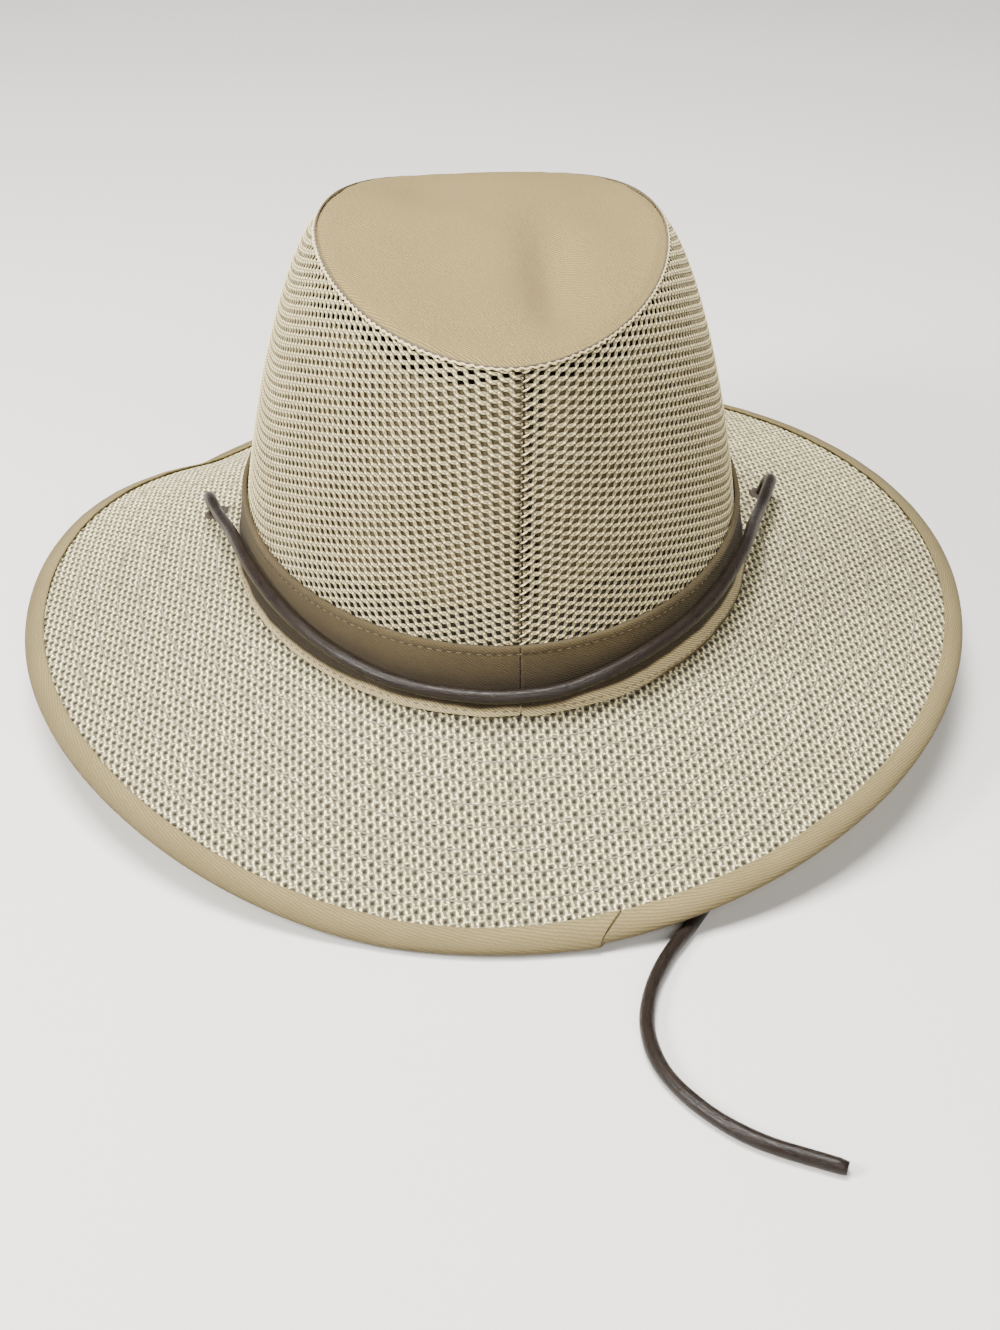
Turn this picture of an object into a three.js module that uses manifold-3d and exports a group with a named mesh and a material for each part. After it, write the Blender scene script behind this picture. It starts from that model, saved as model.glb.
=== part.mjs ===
// A safari hat of open net with a knitted brim, in millimetres, +Z up. It rests on its brim at z = 0.
// The wearer faces +Y, so the back seam is at -Y.
import * as THREE from "three";
import { mergeVertices } from "three/addons/utils/BufferGeometryUtils.js";
import Module from "manifold-3d";

// Driving dimensions
const SIDES = 64; // facets round the head
const HEAD_HALF_WIDTH = 85;
const HEAD_HALF_LENGTH = 108.5;
const BRIM_WIDTH = 77; // measured down its slope
const BRIM_NARROWING = 0.032; // share of its reach that it lacks at NARROW_ANGLE, near the back
const NARROW_ANGLE = THREE.MathUtils.degToRad(-82);
const NARROW_SPREAD = 0.15;
const BRIM_THICKNESS = 1.6;
const BRIM_EDGE_THICKNESS = 1.2; // pressed inside its binding
const BASE_HEIGHT = 36.5; // middle of the brim's cloth where it meets the crown
const GAP = 0.3;

const BINDING_CLOTH = 0.8;
const BINDING_WIDTH = 8;
const BINDING_BEND = 3; // from the edge, where the binding can turn to lie flat
const BINDING_FOLD = 1.1; // thickness of its folded edge
const REST_HEIGHT = BRIM_THICKNESS / 2 + GAP + BINDING_CLOTH; // lowest middle of the brim's cloth

const CROWN_HEIGHT = 107;
const CROWN_BASE = BASE_HEIGHT + BRIM_THICKNESS / 2 + GAP;
const SIDE_TAPER = 0.125;
const END_TAPER = 0.094;
const SIDE_ROUNDING = 16.8;
const END_ROUNDING = 0.8;
const ROUNDING_POWER = 3.14;
const SHOULDER_LIFT = 0.75; // 0 is a bevelled shoulder, 1 rounds over until it is level
const SHOULDER_POWER = 6;
const CROWN_LEAN = 11; // the top sits this far forward of the base
const CROWN_SHIFT = 1.1;
const TOP_SLOPE = 0.054;
const TOP_FRONT_FALL = 0.002;
const TOP_FULLNESS = 1.82; // 2 is an oval, less is a rounder diamond
const TOP_DOME = 2.2;
const TOP_EDGE_LEVEL = 0.967; // the top's edge runs down the crown's side to this level
const WALL_TOP_LEVEL = 0.962;
const WALL_THICKNESS = 1.2;
const SEAM_FOOT = 2.6; // the seams of the crown's two sides stand this far to the right at the brim
const SEAM_LEAN = 2.3; // and this much farther at the top
const TOP_THICKNESS = 1.4;

const BAND_HEIGHT = 22;
const SWEATBAND_HEIGHT = 36;

const CORD_RADIUS = 2.1;
const CORD_STEP = 13.5;
const EYELET_HOLE_RADIUS = 3;
const EYELET_RADIUS = 4.4;
const EYELET_HALF_HEIGHT = 1.4;

const SLIDER_PLACE = new THREE.Vector3(58, -105, 3.8);
const SLIDER_LENGTH = 15;
const SLIDER_WIDTH = 14.4;
const BORE_RADIUS = 2.8;
const BORE_OFFSET = 3.2;

// Height of the rim above the floor: a mean height and waves round the brim, peaks in degrees from +X.
// Where a wave reaches the floor the rim presses on it by up to LANDING_DEPTH, and lies flat there.
const RIM_MEAN_HEIGHT = 8.8;
const RIM_WAVES = [
  { waves: 1, rise: 6.5, peak: -43 },
  { waves: 2, rise: 12.3, peak: 7 },
  { waves: 3, rise: 3.3, peak: -56 },
  { waves: 4, rise: 1.8, peak: -37 },
  { waves: 5, rise: 1.3, peak: 4 },
];
const LANDING_DEPTH = 1.8;
const LANDING_SOFTNESS = 1.4;

// Soft hollows in the crown's top
const TOP_DENTS = [
  { x: 16.5, y: -38, halfWidth: 9, halfLength: 27, depth: 3.4 },
  { x: -13.5, y: -33, halfWidth: 6, halfLength: 12, depth: 1 },
  { x: 44, y: 22, halfWidth: 22, halfLength: 30, depth: 3 },
  { x: -18, y: 58, halfWidth: 15, halfLength: 30, depth: 3.6 },
];

const EYELETS = [
  { name: "eyelet_left", angle: 167.5, down: 14.1 },
  { name: "eyelet_right", angle: 12.1, down: 17.4 },
];

const CLOTH = { twill: "#bfae8b", net: "#d6ccb6", knit: "#d3cdba", binding: "#a99a7b", leather: "#4a3a33" };

const material = (color, roughness) => new THREE.MeshStandardMaterial({ color, roughness, metalness: 0 });

// Height of the rim's underside: the waves, eased off so that they end just below the floor
function rimHeight(angle) {
  let above = RIM_MEAN_HEIGHT + LANDING_DEPTH;
  for (const wave of RIM_WAVES) {
    above += wave.rise * Math.cos(wave.waves * (angle - THREE.MathUtils.degToRad(wave.peak)));
  }
  return (above + Math.hypot(above, LANDING_SOFTNESS)) / 2 - LANDING_DEPTH;
}

// How far the brim falls from the crown to its rim
const brimFall = (angle) => BASE_HEIGHT - REST_HEIGHT - rimHeight(angle);

// Horizontal reach of the brim: its slope has a fixed length, so a steeper brim reaches less far.
function brimReach(angle) {
  const fall = Math.min(brimFall(angle), BASE_HEIGHT - REST_HEIGHT);
  const narrow = BRIM_NARROWING * Math.exp((Math.cos(angle - NARROW_ANGLE) - 1) / NARROW_SPREAD);
  return Math.sqrt(BRIM_WIDTH ** 2 - fall ** 2) * (1 - narrow);
}

// A point of the brim, "down" its slope from the crown and "lift" above the middle of its cloth
function brimPoint(angle, down, lift) {
  const share = down / BRIM_WIDTH;
  const out = brimReach(angle) * share;
  const sloped = BASE_HEIGHT - brimFall(angle) * Math.max(share, 0);
  return new THREE.Vector3(
    (HEAD_HALF_WIDTH + out) * Math.cos(angle),
    (HEAD_HALF_LENGTH + out) * Math.sin(angle),
    Math.max(sloped, REST_HEIGHT) + lift,
  );
}

function topHeight(x, y) {
  return CROWN_BASE + CROWN_HEIGHT + TOP_SLOPE * y - TOP_FRONT_FALL * Math.max(y, 0) ** 2;
}

// The crown's outer side: level 0 at the brim, 1 at the seam of the top
function crownPoint(angle, level) {
  const rounding = level ** ROUNDING_POWER;
  const halfWidth = HEAD_HALF_WIDTH - SIDE_TAPER * CROWN_HEIGHT * level - SIDE_ROUNDING * rounding;
  const halfLength = HEAD_HALF_LENGTH - END_TAPER * CROWN_HEIGHT * level - END_ROUNDING * rounding;
  const fullness = 2 + (TOP_FULLNESS - 2) * level;
  const across = Math.abs(Math.cos(angle)) ** fullness;
  const along = Math.abs(Math.sin(angle)) ** fullness;
  const reach = (across + along) ** (-1 / fullness);
  const x = halfWidth * Math.cos(angle) * reach + CROWN_SHIFT * level;
  const y = halfLength * Math.sin(angle) * reach + CROWN_LEAN * level;
  const climb = level + SHOULDER_LIFT * level ** SHOULDER_POWER * (1 - level);
  return new THREE.Vector3(x, y, CROWN_BASE + (topHeight(x, y) - CROWN_BASE) * climb);
}

// The outward direction of the crown's side, from two short steps along it
function crownNormal(angle, level) {
  const step = 0.001;
  const here = crownPoint(angle, level);
  const round = crownPoint(angle + step, level).sub(here);
  const upward = crownPoint(angle, level + step).sub(here);
  return round.cross(upward).normalize();
}

// The outward direction in plan
function crownHeading(angle, level) {
  const normal = crownNormal(angle, level);
  return new THREE.Vector3(normal.x, normal.y, 0).normalize();
}

// A closed profile of [radius, height] pairs is turned into a plain ring. Each point of the ring is then
// moved to where "place" puts its angle, radius and height.
function turnedForm(profile, place) {
  const points = profile.map(([radius, height]) => new THREE.Vector2(radius, height));
  const geometry = new THREE.LatheGeometry(points, SIDES);
  const position = geometry.getAttribute("position");
  for (let i = 0; i < position.count; i += 1) {
    const angle = Math.atan2(position.getX(i), position.getZ(i));
    const radius = Math.hypot(position.getX(i), position.getZ(i));
    const moved = place(angle, radius, position.getY(i));
    position.setXYZ(i, moved.x, moved.y, moved.z);
  }
  geometry.computeVertexNormals();
  return geometry;
}

function namedMesh(name, geometry, finish) {
  const mesh = new THREE.Mesh(geometry, finish);
  mesh.name = name;
  return mesh;
}

const wasm = await Module();
wasm.setup();

// A closed three.js geometry as a solid that can be cut
function solidOf(geometry) {
  const bare = geometry.clone();
  bare.deleteAttribute("normal");
  bare.deleteAttribute("uv");
  const merged = mergeVertices(bare, 1e-4);
  return new wasm.Manifold(new wasm.Mesh({
    numProp: 3,
    vertProperties: new Float32Array(merged.getAttribute("position").array),
    triVerts: new Uint32Array(merged.getIndex().array),
  }));
}

function geometryOf(solid) {
  const mesh = solid.getMesh();
  const geometry = new THREE.BufferGeometry();
  geometry.setAttribute("position", new THREE.BufferAttribute(mesh.vertProperties, 3));
  geometry.setIndex(new THREE.BufferAttribute(mesh.triVerts, 1));
  geometry.computeVertexNormals();
  return geometry;
}

function cut(geometry, cutters) {
  let solid = solidOf(geometry);
  for (const cutter of cutters) {
    solid = solid.subtract(solidOf(cutter));
  }
  return geometryOf(solid);
}

// Crown: the two net sides, the twill top, the hat band outside and the sweatband inside.
// A large block, one face of it half a gap past the plane of the seams, cuts away the other side.
function seamBlock(side) {
  const size = 400;
  const block = new THREE.BoxGeometry(size, size, size).translate(side * (size / 2 - GAP / 2), 0, 0);
  return block.rotateY(Math.atan(SEAM_LEAN / CROWN_HEIGHT)).translate(SEAM_FOOT, 0, CROWN_BASE);
}

function makeCrownSide(name, side) {
  const levels = [0, 0.2, 0.4, 0.55, 0.67, 0.77, 0.85, 0.91, WALL_TOP_LEVEL];
  const outer = levels.map((level) => [2, level]);
  const inner = levels.map((level) => [1, level]).reverse();
  const profile = [...outer, ...inner, outer[0]];
  const geometry = turnedForm(profile, (angle, skin, level) => {
    const inset = WALL_THICKNESS * (2 - skin);
    const point = crownPoint(angle, level);
    const offset = crownNormal(angle, level).multiplyScalar(-inset);
    return level === 0 ? point.add(offset.setZ(0)) : point.add(offset);
  });
  return namedMesh(name, cut(geometry, [seamBlock(-side)]), material(CLOTH.net, 0.9));
}

function topDents(x, y) {
  let depth = 0;
  for (const dent of TOP_DENTS) {
    const across = (x - dent.x) / dent.halfWidth;
    const along = (y - dent.y) / dent.halfLength;
    depth += dent.depth * Math.exp(-(across ** 2) - along ** 2);
  }
  return depth;
}

function makeCrownTop() {
  const rings = [0, 0.22, 0.42, 0.6, 0.76, 0.9, 1];
  const upper = rings.map((ring) => [ring, 1]).reverse();
  const lower = rings.map((ring) => [ring, 0]);
  const profile = [...lower, ...upper];
  const geometry = turnedForm(profile, (angle, ring, skin) => {
    const onLowerEdge = ring > 0.999 && skin === 0;
    if (onLowerEdge) {
      return crownPoint(angle, TOP_EDGE_LEVEL);
    }
    const seam = crownPoint(angle, 1);
    const x = CROWN_SHIFT + (seam.x - CROWN_SHIFT) * ring;
    const y = CROWN_LEAN + (seam.y - CROWN_LEAN) * ring;
    const swell = (TOP_DOME - topDents(x, y)) * (1 - ring ** 2);
    return new THREE.Vector3(x, y, topHeight(x, y) + swell - TOP_THICKNESS * (1 - skin));
  });
  return namedMesh("crown_top", geometry, material(CLOTH.twill, 0.85));
}

// The band flares at its foot and stands just off the brim.
function makeHatBand() {
  const rows = [
    { height: 0, inner: 1.8, outer: 3.0 },
    { height: 3, inner: 1.2, outer: 2.4 },
    { height: 7, inner: 0.5, outer: 1.75 },
    { height: BAND_HEIGHT, inner: 0.35, outer: 1.6 },
  ];
  const outer = rows.map((row) => [row.outer, row.height]);
  const inner = rows.map((row) => [row.inner, row.height]).reverse();
  const profile = [...outer, ...inner, outer[0]];
  const geometry = turnedForm(profile, (angle, out, height) => {
    const level = height / CROWN_HEIGHT;
    const point = crownPoint(angle, level).add(crownHeading(angle, level).multiplyScalar(out));
    const settle = Math.max(0, 1 - height / 10);
    point.z -= (brimFall(angle) / brimReach(angle)) * out * settle;
    return point;
  });
  return namedMesh("hat_band", geometry, material(CLOTH.binding, 0.85));
}

function makeSweatband() {
  const outerInset = WALL_THICKNESS + GAP * 1.5;
  const innerInset = outerInset + WALL_THICKNESS;
  const heights = [0, SWEATBAND_HEIGHT / 2, SWEATBAND_HEIGHT];
  const outer = heights.map((height) => [innerInset, height]);
  const inner = heights.map((height) => [outerInset, height]).reverse();
  const profile = [...outer, ...inner, outer[0]];
  const geometry = turnedForm(profile, (angle, radius, height) => {
    const inset = outerInset + innerInset - radius;
    const level = height / CROWN_HEIGHT;
    return crownPoint(angle, level).add(crownHeading(angle, level).multiplyScalar(-inset));
  });
  return namedMesh("sweatband", geometry, material("#4b453c", 0.9));
}

// Brim: the knitted sheet with its two eyelet holes, and the binding folded over its edge
function eyeletFrame(eyelet) {
  const angle = THREE.MathUtils.degToRad(eyelet.angle);
  const place = brimPoint(angle, eyelet.down, 0);
  const round = brimPoint(angle + 0.01, eyelet.down, 0).sub(place);
  const outward = brimPoint(angle, eyelet.down + 1, 0).sub(place);
  const up = outward.cross(round).normalize();
  return { place, turn: new THREE.Quaternion().setFromUnitVectors(new THREE.Vector3(0, 1, 0), up) };
}

function makeBrim() {
  const inRing = 10; // keeps the plain ring's radii above zero
  const rows = [
    { down: -3.2, thickness: BRIM_THICKNESS },
    { down: 0, thickness: BRIM_THICKNESS },
    { down: 6, thickness: BRIM_THICKNESS },
    { down: 20, thickness: BRIM_THICKNESS },
    { down: 36, thickness: BRIM_THICKNESS },
    { down: 52, thickness: BRIM_THICKNESS },
    { down: BRIM_WIDTH - BINDING_WIDTH, thickness: BRIM_THICKNESS },
    { down: BRIM_WIDTH - BINDING_BEND, thickness: BRIM_EDGE_THICKNESS },
    { down: BRIM_WIDTH - BINDING_FOLD - GAP, thickness: BRIM_EDGE_THICKNESS },
  ];
  const lower = rows.map((row) => [row.down + inRing, -row.thickness / 2]);
  const upper = rows.map((row) => [row.down + inRing, row.thickness / 2]).reverse();
  const profile = [...lower, ...upper, lower[0]];
  const sheet = turnedForm(profile, (angle, radius, lift) => brimPoint(angle, radius - inRing, lift));
  const drills = EYELETS.map((eyelet) => {
    const { place, turn } = eyeletFrame(eyelet);
    const drill = new THREE.CylinderGeometry(EYELET_RADIUS + GAP, EYELET_RADIUS + GAP, 12, 16);
    return drill.applyQuaternion(turn).translate(place.x, place.y, place.z);
  });
  return namedMesh("brim", cut(sheet, drills), material(CLOTH.knit, 0.9));
}

function makeBinding() {
  const half = REST_HEIGHT;
  const inside = half - BINDING_CLOTH;
  const section = [
    { edge: BINDING_WIDTH, lift: -half },
    { edge: BINDING_BEND, lift: -half },
    { edge: 1, lift: -half },
    { edge: 0, lift: -half / 2 },
    { edge: 0, lift: half / 2 },
    { edge: 1, lift: half },
    { edge: BINDING_BEND, lift: half },
    { edge: BINDING_WIDTH, lift: half },
    { edge: BINDING_WIDTH, lift: inside },
    { edge: BINDING_BEND, lift: inside },
    { edge: BINDING_FOLD, lift: inside },
    { edge: BINDING_FOLD, lift: -inside },
    { edge: BINDING_BEND, lift: -inside },
    { edge: BINDING_WIDTH, lift: -inside },
  ];
  const profile = [...section, section[0]].map((row) => [BRIM_WIDTH - row.edge, row.lift]);
  const geometry = turnedForm(profile, brimPoint);
  return namedMesh("brim_binding", geometry, material(CLOTH.binding, 0.85));
}

function makeEyelet(eyelet) {
  const round = 0.6;
  const profile = [
    [EYELET_HOLE_RADIUS, -EYELET_HALF_HEIGHT + round],
    [EYELET_HOLE_RADIUS + round, -EYELET_HALF_HEIGHT],
    [EYELET_RADIUS - round, -EYELET_HALF_HEIGHT],
    [EYELET_RADIUS, -EYELET_HALF_HEIGHT + round],
    [EYELET_RADIUS, EYELET_HALF_HEIGHT - round],
    [EYELET_RADIUS - round, EYELET_HALF_HEIGHT],
    [EYELET_HOLE_RADIUS + round, EYELET_HALF_HEIGHT],
    [EYELET_HOLE_RADIUS, EYELET_HALF_HEIGHT - round],
    [EYELET_HOLE_RADIUS, -EYELET_HALF_HEIGHT + round],
  ];
  const points = profile.map(([radius, height]) => new THREE.Vector2(radius, height));
  const mesh = namedMesh(eyelet.name, new THREE.LatheGeometry(points, 16), material("#7d6f52", 0.8));
  const { place, turn } = eyeletFrame(eyelet);
  mesh.position.copy(place);
  mesh.quaternion.copy(turn);
  return mesh;
}

// Chin cord: one leather cord in three stretches that meet in the eyelets, and the slider under the hat
const CORD_ROUTES = {
  chin_cord_over_brim: [
    [-96.6, 26.4, 33.1], [-97.6, 26.3, 37.2], [-98.0, 23.5, 41.5], [-96.6, 16.0, 44.2],
    [-93.6, 5.0, 45.4], [-88.4, -12.0, 48.2], [-79.9, -43.8, 52.9], [-71.2, -63.0, 51.4],
    [-61.6, -77.8, 49.4], [-49.3, -91.3, 47.5], [-35.9, -101.4, 45.9], [-21.3, -107.9, 45.3],
    [-6.6, -111.0, 45.0], [2.5, -111.2, 45.1], [14.2, -109.7, 45.6], [26.5, -105.5, 47.5],
    [39.2, -98.5, 49.6], [53.1, -86.9, 51.4], [62.5, -76.0, 52.3], [70.6, -63.7, 53.3],
    [81.0, -41.7, 53.0], [87.6, -21.5, 49.5], [92.6, -6.5, 46.5], [98.2, 9.0, 45.4],
    [101.6, 20.0, 43.6], [101.4, 26.0, 39.0], [100.1, 26.3, 33.6],
  ],
  chin_cord_left: [
    [-96.4, 26.4, 32.7], [-95.4, 26.6, 28.0], [-93.6, 29.0, 17.0], [-91.5, 35.0, 6.5],
    [-85.0, 46.0, 2.8], [-70.0, 56.0, 2.3], [-48.0, 55.0, 2.3], [-25.0, 38.0, 2.3],
    [-5.0, 12.0, 2.3], [12.0, -18.0, 2.3], [29.0, -50.0, 2.3], [43.0, -76.0, 2.5],
    [51.5, -88.0, 3.2], [54.8, -97.0, 3.8], [54.8, -113.0, 3.8], [52.5, -122.0, 3.2],
    [45.0, -131.5, 2.3], [32.0, -138.0, 2.3], [17.0, -140.0, 2.3],
  ],
  chin_cord_right: [
    [99.9, 26.3, 33.2], [99.2, 26.6, 28.5], [97.6, 29.5, 17.0], [94.5, 37.0, 6.5],
    [87.0, 49.0, 2.8], [70.0, 58.0, 2.3], [50.0, 52.0, 2.3], [34.0, 32.0, 2.3],
    [29.0, 4.0, 2.3], [36.0, -28.0, 2.3], [48.0, -58.0, 2.3], [56.5, -77.0, 2.5],
    [60.2, -89.0, 3.2], [61.2, -97.0, 3.8], [61.2, -113.0, 3.8], [61.3, -124.0, 3.0],
    [60.5, -138.0, 2.3], [56.0, -152.0, 2.3], [47.5, -166.0, 2.3], [38.5, -179.0, 2.3],
    [32.0, -193.0, 2.3], [29.4, -207.0, 2.3], [31.5, -221.0, 2.3], [39.0, -234.0, 2.3],
    [51.0, -245.5, 2.3], [72.2, -256.3, 2.3],
  ],
};

function makeCord(name) {
  const route = CORD_ROUTES[name].map(([x, y, z]) => new THREE.Vector3(x, y, z));
  const path = new THREE.CatmullRomCurve3(route, false, "centripetal");
  path.arcLengthDivisions = 1000;
  const rim = [];
  for (let side = 0; side < 8; side += 1) {
    const angle = (side / 8) * 2 * Math.PI;
    rim.push(new THREE.Vector2(CORD_RADIUS * Math.cos(angle), CORD_RADIUS * Math.sin(angle)));
  }
  const steps = Math.ceil(path.getLength() / CORD_STEP);
  const geometry = new THREE.ExtrudeGeometry(new THREE.Shape(rim), { steps, extrudePath: path });
  return namedMesh(name, geometry, material(CLOTH.leather, 0.6));
}

function makeSlider() {
  const half = SLIDER_PLACE.z;
  const straight = SLIDER_WIDTH / 2 - half;
  const outline = new THREE.Shape();
  outline.absarc(straight, 0, half, -Math.PI / 2, Math.PI / 2);
  outline.absarc(-straight, 0, half, Math.PI / 2, (3 * Math.PI) / 2);
  outline.closePath();
  const options = { depth: SLIDER_LENGTH, steps: 1, curveSegments: 8, bevelEnabled: false };
  const body = new THREE.ExtrudeGeometry(outline, options).translate(0, 0, -SLIDER_LENGTH / 2);
  body.rotateX(Math.PI / 2);
  const bores = [-BORE_OFFSET, BORE_OFFSET].map((offset) => (
    new THREE.CylinderGeometry(BORE_RADIUS, BORE_RADIUS, SLIDER_LENGTH + 4, 16).translate(offset, 0, 0)
  ));
  const mesh = namedMesh("cord_slider", cut(body, bores), material("#6b4a32", 0.6));
  mesh.position.copy(SLIDER_PLACE);
  return mesh;
}

const hat = new THREE.Group();
hat.add(makeCrownSide("crown_side_left", -1), makeCrownSide("crown_side_right", 1), makeCrownTop());
hat.add(makeHatBand(), makeSweatband(), makeBrim(), makeBinding());
hat.add(...EYELETS.map(makeEyelet));
hat.add(...Object.keys(CORD_ROUTES).map(makeCord));
hat.add(makeSlider());

export default hat;
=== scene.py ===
"""A safari hat of open net with a knitted brim, resting on its brim at z = 0.

Metres, +Z up, the wearer's front at +Y."""
import math

import bpy
import numpy as np
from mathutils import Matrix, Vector


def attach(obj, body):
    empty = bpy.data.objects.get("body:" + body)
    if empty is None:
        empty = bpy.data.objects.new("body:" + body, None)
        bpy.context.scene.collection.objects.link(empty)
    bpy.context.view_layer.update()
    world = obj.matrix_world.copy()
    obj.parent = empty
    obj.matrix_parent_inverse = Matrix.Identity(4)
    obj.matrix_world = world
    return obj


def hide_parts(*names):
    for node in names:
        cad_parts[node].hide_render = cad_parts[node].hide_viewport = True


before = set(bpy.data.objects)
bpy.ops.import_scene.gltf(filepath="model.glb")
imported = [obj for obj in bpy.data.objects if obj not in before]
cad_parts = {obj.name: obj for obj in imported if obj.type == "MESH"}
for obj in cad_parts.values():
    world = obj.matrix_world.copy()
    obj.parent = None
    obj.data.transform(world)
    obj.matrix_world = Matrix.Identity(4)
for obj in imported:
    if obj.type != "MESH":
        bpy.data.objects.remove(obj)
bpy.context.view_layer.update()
rng = np.random.default_rng(7)

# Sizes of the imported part
HEAD_HALF_WIDTH = 0.085
HEAD_HALF_LENGTH = 0.1085
BRIM_WIDTH = 0.077
BRIM_NARROWING = 0.032  # share of its reach that the brim lacks at NARROW_ANGLE
NARROW_ANGLE = -82
NARROW_SPREAD = 0.15
BASE_HEIGHT = 0.0365
BINDING_WIDTH = 0.008
BINDING_HALF = 0.0019
REST_HEIGHT = 0.0019
CROWN_HEIGHT = 0.107
CROWN_BASE = 0.0376
SIDE_TAPER = 0.125
END_TAPER = 0.094
SIDE_ROUNDING = 0.0168
END_ROUNDING = 0.0008
ROUNDING_POWER = 3.14
SHOULDER_LIFT = 0.75
SHOULDER_POWER = 6
CROWN_LEAN = 0.011
CROWN_SHIFT = 0.0011
TOP_SLOPE = 0.054
TOP_FRONT_FALL = 2.0
TOP_FULLNESS = 1.82
TOP_DOME = 0.0022
TOP_THICKNESS = 0.0014
SEAM_FOOT = 0.0026
SEAM_LEAN = 0.0023
BAND_HEIGHT = 0.022
SWEATBAND_HEIGHT = 0.036
CORD_DIAMETER = 0.0042
EYELET_RADIUS = 0.0044

# Waves of the rim: how many round the brim, how high, and the angle of a peak in degrees
RIM_MEAN_HEIGHT = 0.0088
RIM_WAVES = [(1, 0.0065, -43), (2, 0.0123, 7), (3, 0.0033, -56), (4, 0.0018, -37), (5, 0.0013, 4)]
LANDING_DEPTH = 0.0018
LANDING_SOFTNESS = 0.0014

# Eyelets: angle in degrees and distance down the brim
EYELETS = {"eyelet_left": (167.5, 0.0141), "eyelet_right": (12.1, 0.0174)}

# Solving for a place on the brim: rounds of Newton's method, first guess, and limits
PLACE_ROUNDS = 14
PLACE_START = -0.03
PLACE_LIMITS = (-0.06, 0.2)

UP = np.array([0, 0, 1.0])


# Small tools for arrays

def stack(*parts):
    """Arrays spread to one shape and put side by side along a new last axis."""
    return np.stack(np.broadcast_arrays(*parts), axis=-1)


def circle(count):
    """Angles of equal steps round a circle."""
    return np.linspace(0, 2 * np.pi, count, endpoint=False)


def running(steps):
    """0 and the running sum of the steps."""
    return np.append(0, np.cumsum(steps))


def unit(vectors):
    """Each vector at length one."""
    return vectors / np.maximum(np.linalg.norm(vectors, axis=-1, keepdims=True), 1e-12)


def around(first, second, turn):
    """Directions at each turn from "first" towards "second", which are square to each other."""
    return first[..., None, :] * np.cos(turn)[..., None] + second[..., None, :] * np.sin(turn)[..., None]


def hump(distance, half_width):
    """1 at distance 0, falling off as a bell curve."""
    return np.exp(-((distance / half_width) ** 2))


def denser(count, middle, half_span, more):
    """Angles of equal steps round a circle, with more of them close to one place, as a column."""
    close = middle + np.linspace(-half_span, half_span, more)
    whole = np.linspace(-np.pi, np.pi, count, endpoint=False)
    return np.unique(np.round(np.concatenate([whole, close]), 6))[:, None]


def step_up(distance, width):
    """A smooth step from 0 to 1, the logistic curve."""
    return 1 / (1 + np.exp(-np.clip(distance / width, -30, 30)))


def lengths_along(points):
    """Distance travelled from the first point to each point, along axis 0."""
    steps = np.linalg.norm(np.diff(points, axis=0), axis=-1)
    return np.concatenate([np.zeros((1, *steps.shape[1:])), np.cumsum(steps, axis=0)])


# The hat's own shapes

def rim_height(angle):
    """Height of the rim's underside: the mean and the waves, eased off to end just below the floor."""
    above = RIM_MEAN_HEIGHT + LANDING_DEPTH
    for waves, rise, peak in RIM_WAVES:
        above = above + rise * np.cos(waves * (angle - math.radians(peak)))
    return (above + np.hypot(above, LANDING_SOFTNESS)) / 2 - LANDING_DEPTH


def brim_fall(angle):
    """How far the brim falls from the crown to its rim."""
    return BASE_HEIGHT - REST_HEIGHT - rim_height(angle)


def brim_reach(angle):
    """Horizontal reach of the brim: its slope has a fixed length, but for a narrower stretch."""
    fall = np.minimum(brim_fall(angle), BASE_HEIGHT - REST_HEIGHT)
    narrow = np.exp((np.cos(angle - math.radians(NARROW_ANGLE)) - 1) / NARROW_SPREAD)
    return np.sqrt(BRIM_WIDTH**2 - fall**2) * (1 - BRIM_NARROWING * narrow)


def brim_point(angle, down, lift):
    """A point of the brim, "down" its slope from the crown and "lift" above the middle of its cloth."""
    angle, down, lift = np.broadcast_arrays(angle, down, lift)
    share = down / BRIM_WIDTH
    out = brim_reach(angle) * share
    sloped = BASE_HEIGHT - brim_fall(angle) * np.maximum(share, 0)
    x = (HEAD_HALF_WIDTH + out) * np.cos(angle)
    y = (HEAD_HALF_LENGTH + out) * np.sin(angle)
    return stack(x, y, np.maximum(sloped, REST_HEIGHT) + lift)


def brim_place(x, y):
    """The brim's angle and distance down at a place in plan. "out" solves for the oval through that place."""
    out = np.full(np.shape(x), PLACE_START)
    for _ in range(PLACE_ROUNDS):
        wide = HEAD_HALF_WIDTH + out
        long = HEAD_HALF_LENGTH + out
        miss = (x / wide) ** 2 + (y / long) ** 2 - 1
        slope = -2 * (x**2 / wide**3 + y**2 / long**3) - 1e-9
        out = np.clip(out - miss / slope, *PLACE_LIMITS)
    angle = np.arctan2(y / (HEAD_HALF_LENGTH + out), x / (HEAD_HALF_WIDTH + out))
    return angle, out / brim_reach(angle) * BRIM_WIDTH


def top_height(x, y):
    """Height of the surface that the crown's top seam lies in, falling away towards the front."""
    return CROWN_BASE + CROWN_HEIGHT + TOP_SLOPE * y - TOP_FRONT_FALL * np.maximum(y, 0) ** 2


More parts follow.
